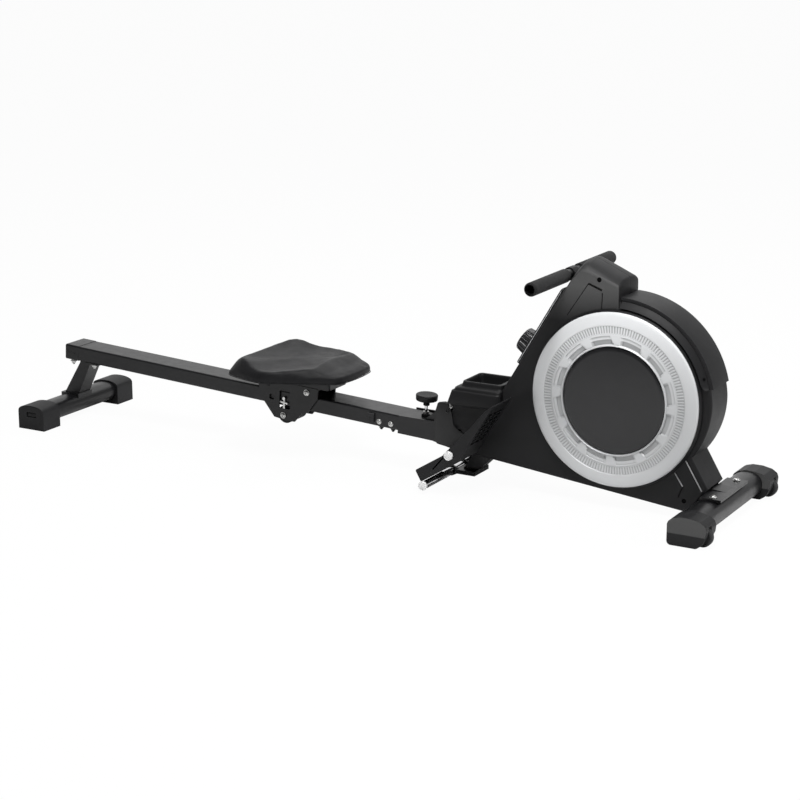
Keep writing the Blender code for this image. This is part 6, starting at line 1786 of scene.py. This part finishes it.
class ROWER_OT_stage(PieceOperator, bpy.types.Operator):
    """Lays the pale floor, hangs the studio lights and sets the camera"""
    bl_idname = "rower.stage"
    bl_label = "Stage"

    def build(self, sizes):
        scene = bpy.context.scene
        self.floor(scene, sizes.floor_size)
        self.world(scene)
        for name, place, target, size, power in (       # metres and watts
                ("key_light", (1.2, -1.6, 4.0), (0.2, 0, 0.25), 1.5, 165),
                ("top_light", (-0.4, 1.6, 3.2), (0, 0, 0.2), 3.0, 60),
                ("front_light", (3.8, 0.4, 1.8), (0.6, 0, 0.3), 1.8, 46)):
            self.lamp(scene, name, place, target, size, power)
        camera = bpy.data.objects.new("camera", bpy.data.cameras.new("camera"))
        scene.collection.objects.link(camera)
        camera.location = (2.4956, -4.2798, 1.4833)     # as solved from the machine's parallel lines
        camera.rotation_euler = (radians(75.0767), 0, radians(29.4855))
        camera.data.sensor_width = 36
        camera.data.lens = 90.718
        camera.data.clip_end = 100
        scene.camera = camera
        scene.view_settings.view_transform = "Standard"

    def floor(self, scene, side):
        """Pale paper that the camera sees as nearly even white, with soft shadows on it."""
        count = 40
        shape = bmesh.new()
        bmesh.ops.create_grid(shape, x_segments=count, y_segments=count, size=side / 2)
        mesh = mesh_of(shape, "studio_floor")
        for polygon in mesh.polygons:
            if polygon.normal.z < 0:
                polygon.flip()
        floor = bpy.data.objects.new("studio_floor", mesh)
        floor.location.z = -0.0002
        scene.collection.objects.link(floor)
        colour = tuple(scene.rower_colours.floor)
        material, tree, shader = base_material("floor_paper", colour, 0.0, 0.9, 0.1)
        cloud = ranged(tree, grain(tree, 1.5, 2.0), 0.0, 1.0)
        coloured(tree, shader, mixed(tree, cloud, scaled(colour, 0.995), colour))
        path = tree.nodes.new("ShaderNodeLightPath")
        white = tree.nodes.new("ShaderNodeEmission")
        white.inputs["Color"].default_value = (1, 1, 1, 1)
        mix = tree.nodes.new("ShaderNodeMixShader")
        tree.links.new(maths(tree, "MULTIPLY", path.outputs["Is Camera Ray"], 0.965), mix.inputs["Fac"])
        tree.links.new(shader.outputs["BSDF"], mix.inputs[1])
        tree.links.new(white.outputs["Emission"], mix.inputs[2])
        tree.links.new(mix.outputs["Shader"], tree.nodes["Material Output"].inputs["Surface"])
        floor.data.materials.append(material)

    def world(self, scene):
        """White to the camera, dim to the surfaces, and a bright wall ahead for them to mirror."""
        world = bpy.data.worlds.new("studio")
        scene.world = world
        world.use_nodes = True
        tree = world.node_tree
        light = tree.nodes["Background"]
        light.inputs["Color"].default_value = (1, 1, 1, 1)
        path = tree.nodes.new("ShaderNodeLightPath")
        place = tree.nodes.new("ShaderNodeTexCoord")
        heading = tree.nodes.new("ShaderNodeVectorMath")
        heading.operation = "DOT_PRODUCT"
        heading.inputs[1].default_value = (-0.49, 0.87, 0.0)      # away from the photographer
        tree.links.new(place.outputs["Generated"], heading.inputs[0])
        mirrored = ranged(tree, heading.outputs["Value"], 0.10, 0.95, 0.05, 0.97)
        glossy = path.outputs["Is Glossy Ray"]
        seen = maths(tree, "MAXIMUM", path.outputs["Is Camera Ray"], path.outputs["Is Transmission Ray"])
        soft = maths(tree, "MULTIPLY", maths(tree, "SUBTRACT", 1.0, glossy), 0.17)
        glint = maths(tree, "MULTIPLY", glossy, mirrored)
        strength = maths(tree, "MAXIMUM", maths(tree, "ADD", soft, glint), seen)
        tree.links.new(strength, light.inputs["Strength"])

    def lamp(self, scene, name, place, target, size, power):
        lamp = bpy.data.lights.new(name, "AREA")
        lamp.shape = "SQUARE"
        lamp.size = size
        lamp.energy = power
        holder = bpy.data.objects.new(name, lamp)
        holder.location = place
        holder.rotation_euler = (Vector(target) - Vector(place)).to_track_quat("-Z", "Y").to_euler()
        scene.collection.objects.link(holder)


# Panel and registration

OPERATORS = (
    ROWER_OT_stage, ROWER_OT_rail, ROWER_OT_rear_support, ROWER_OT_front_support, ROWER_OT_seat_cushion,
    ROWER_OT_seat_carriage, ROWER_OT_housing, ROWER_OT_drum_guard, ROWER_OT_trim_rings, ROWER_OT_tray,
    ROWER_OT_console, ROWER_OT_tension_knob, ROWER_OT_handle, ROWER_OT_pedals, ROWER_OT_rods, ROWER_OT_hinge,
    ROWER_OT_frame_works)


class ROWER_PT_pieces(bpy.types.Panel):
    """Lists the sizes, the colours and the pieces to build"""
    bl_idname = "ROWER_PT_pieces"
    bl_label = "Rowing machine"
    bl_space_type = "VIEW_3D"
    bl_region_type = "UI"
    bl_category = "Rower"

    def draw(self, context):
        for group in (context.scene.rower_sizes, context.scene.rower_colours):
            box = self.layout.box()
            for name in group.__annotations__:
                box.prop(group, name)
        for operator in OPERATORS:
            self.layout.operator(operator.bl_idname)


CLASSES = (RowerSizes, RowerColours, *OPERATORS, ROWER_PT_pieces)


def register():
    for entry in CLASSES:
        bpy.utils.register_class(entry)
    bpy.types.Scene.rower_sizes = PointerProperty(type=RowerSizes)
    bpy.types.Scene.rower_colours = PointerProperty(type=RowerColours)


def unregister():
    del bpy.types.Scene.rower_sizes
    del bpy.types.Scene.rower_colours
    for entry in reversed(CLASSES):
        bpy.utils.unregister_class(entry)


def main():
    register()
    for operator in OPERATORS:
        group, name = operator.bl_idname.split(".")
        getattr(getattr(bpy.ops, group), name)()


if __name__ == "__main__":
    main()
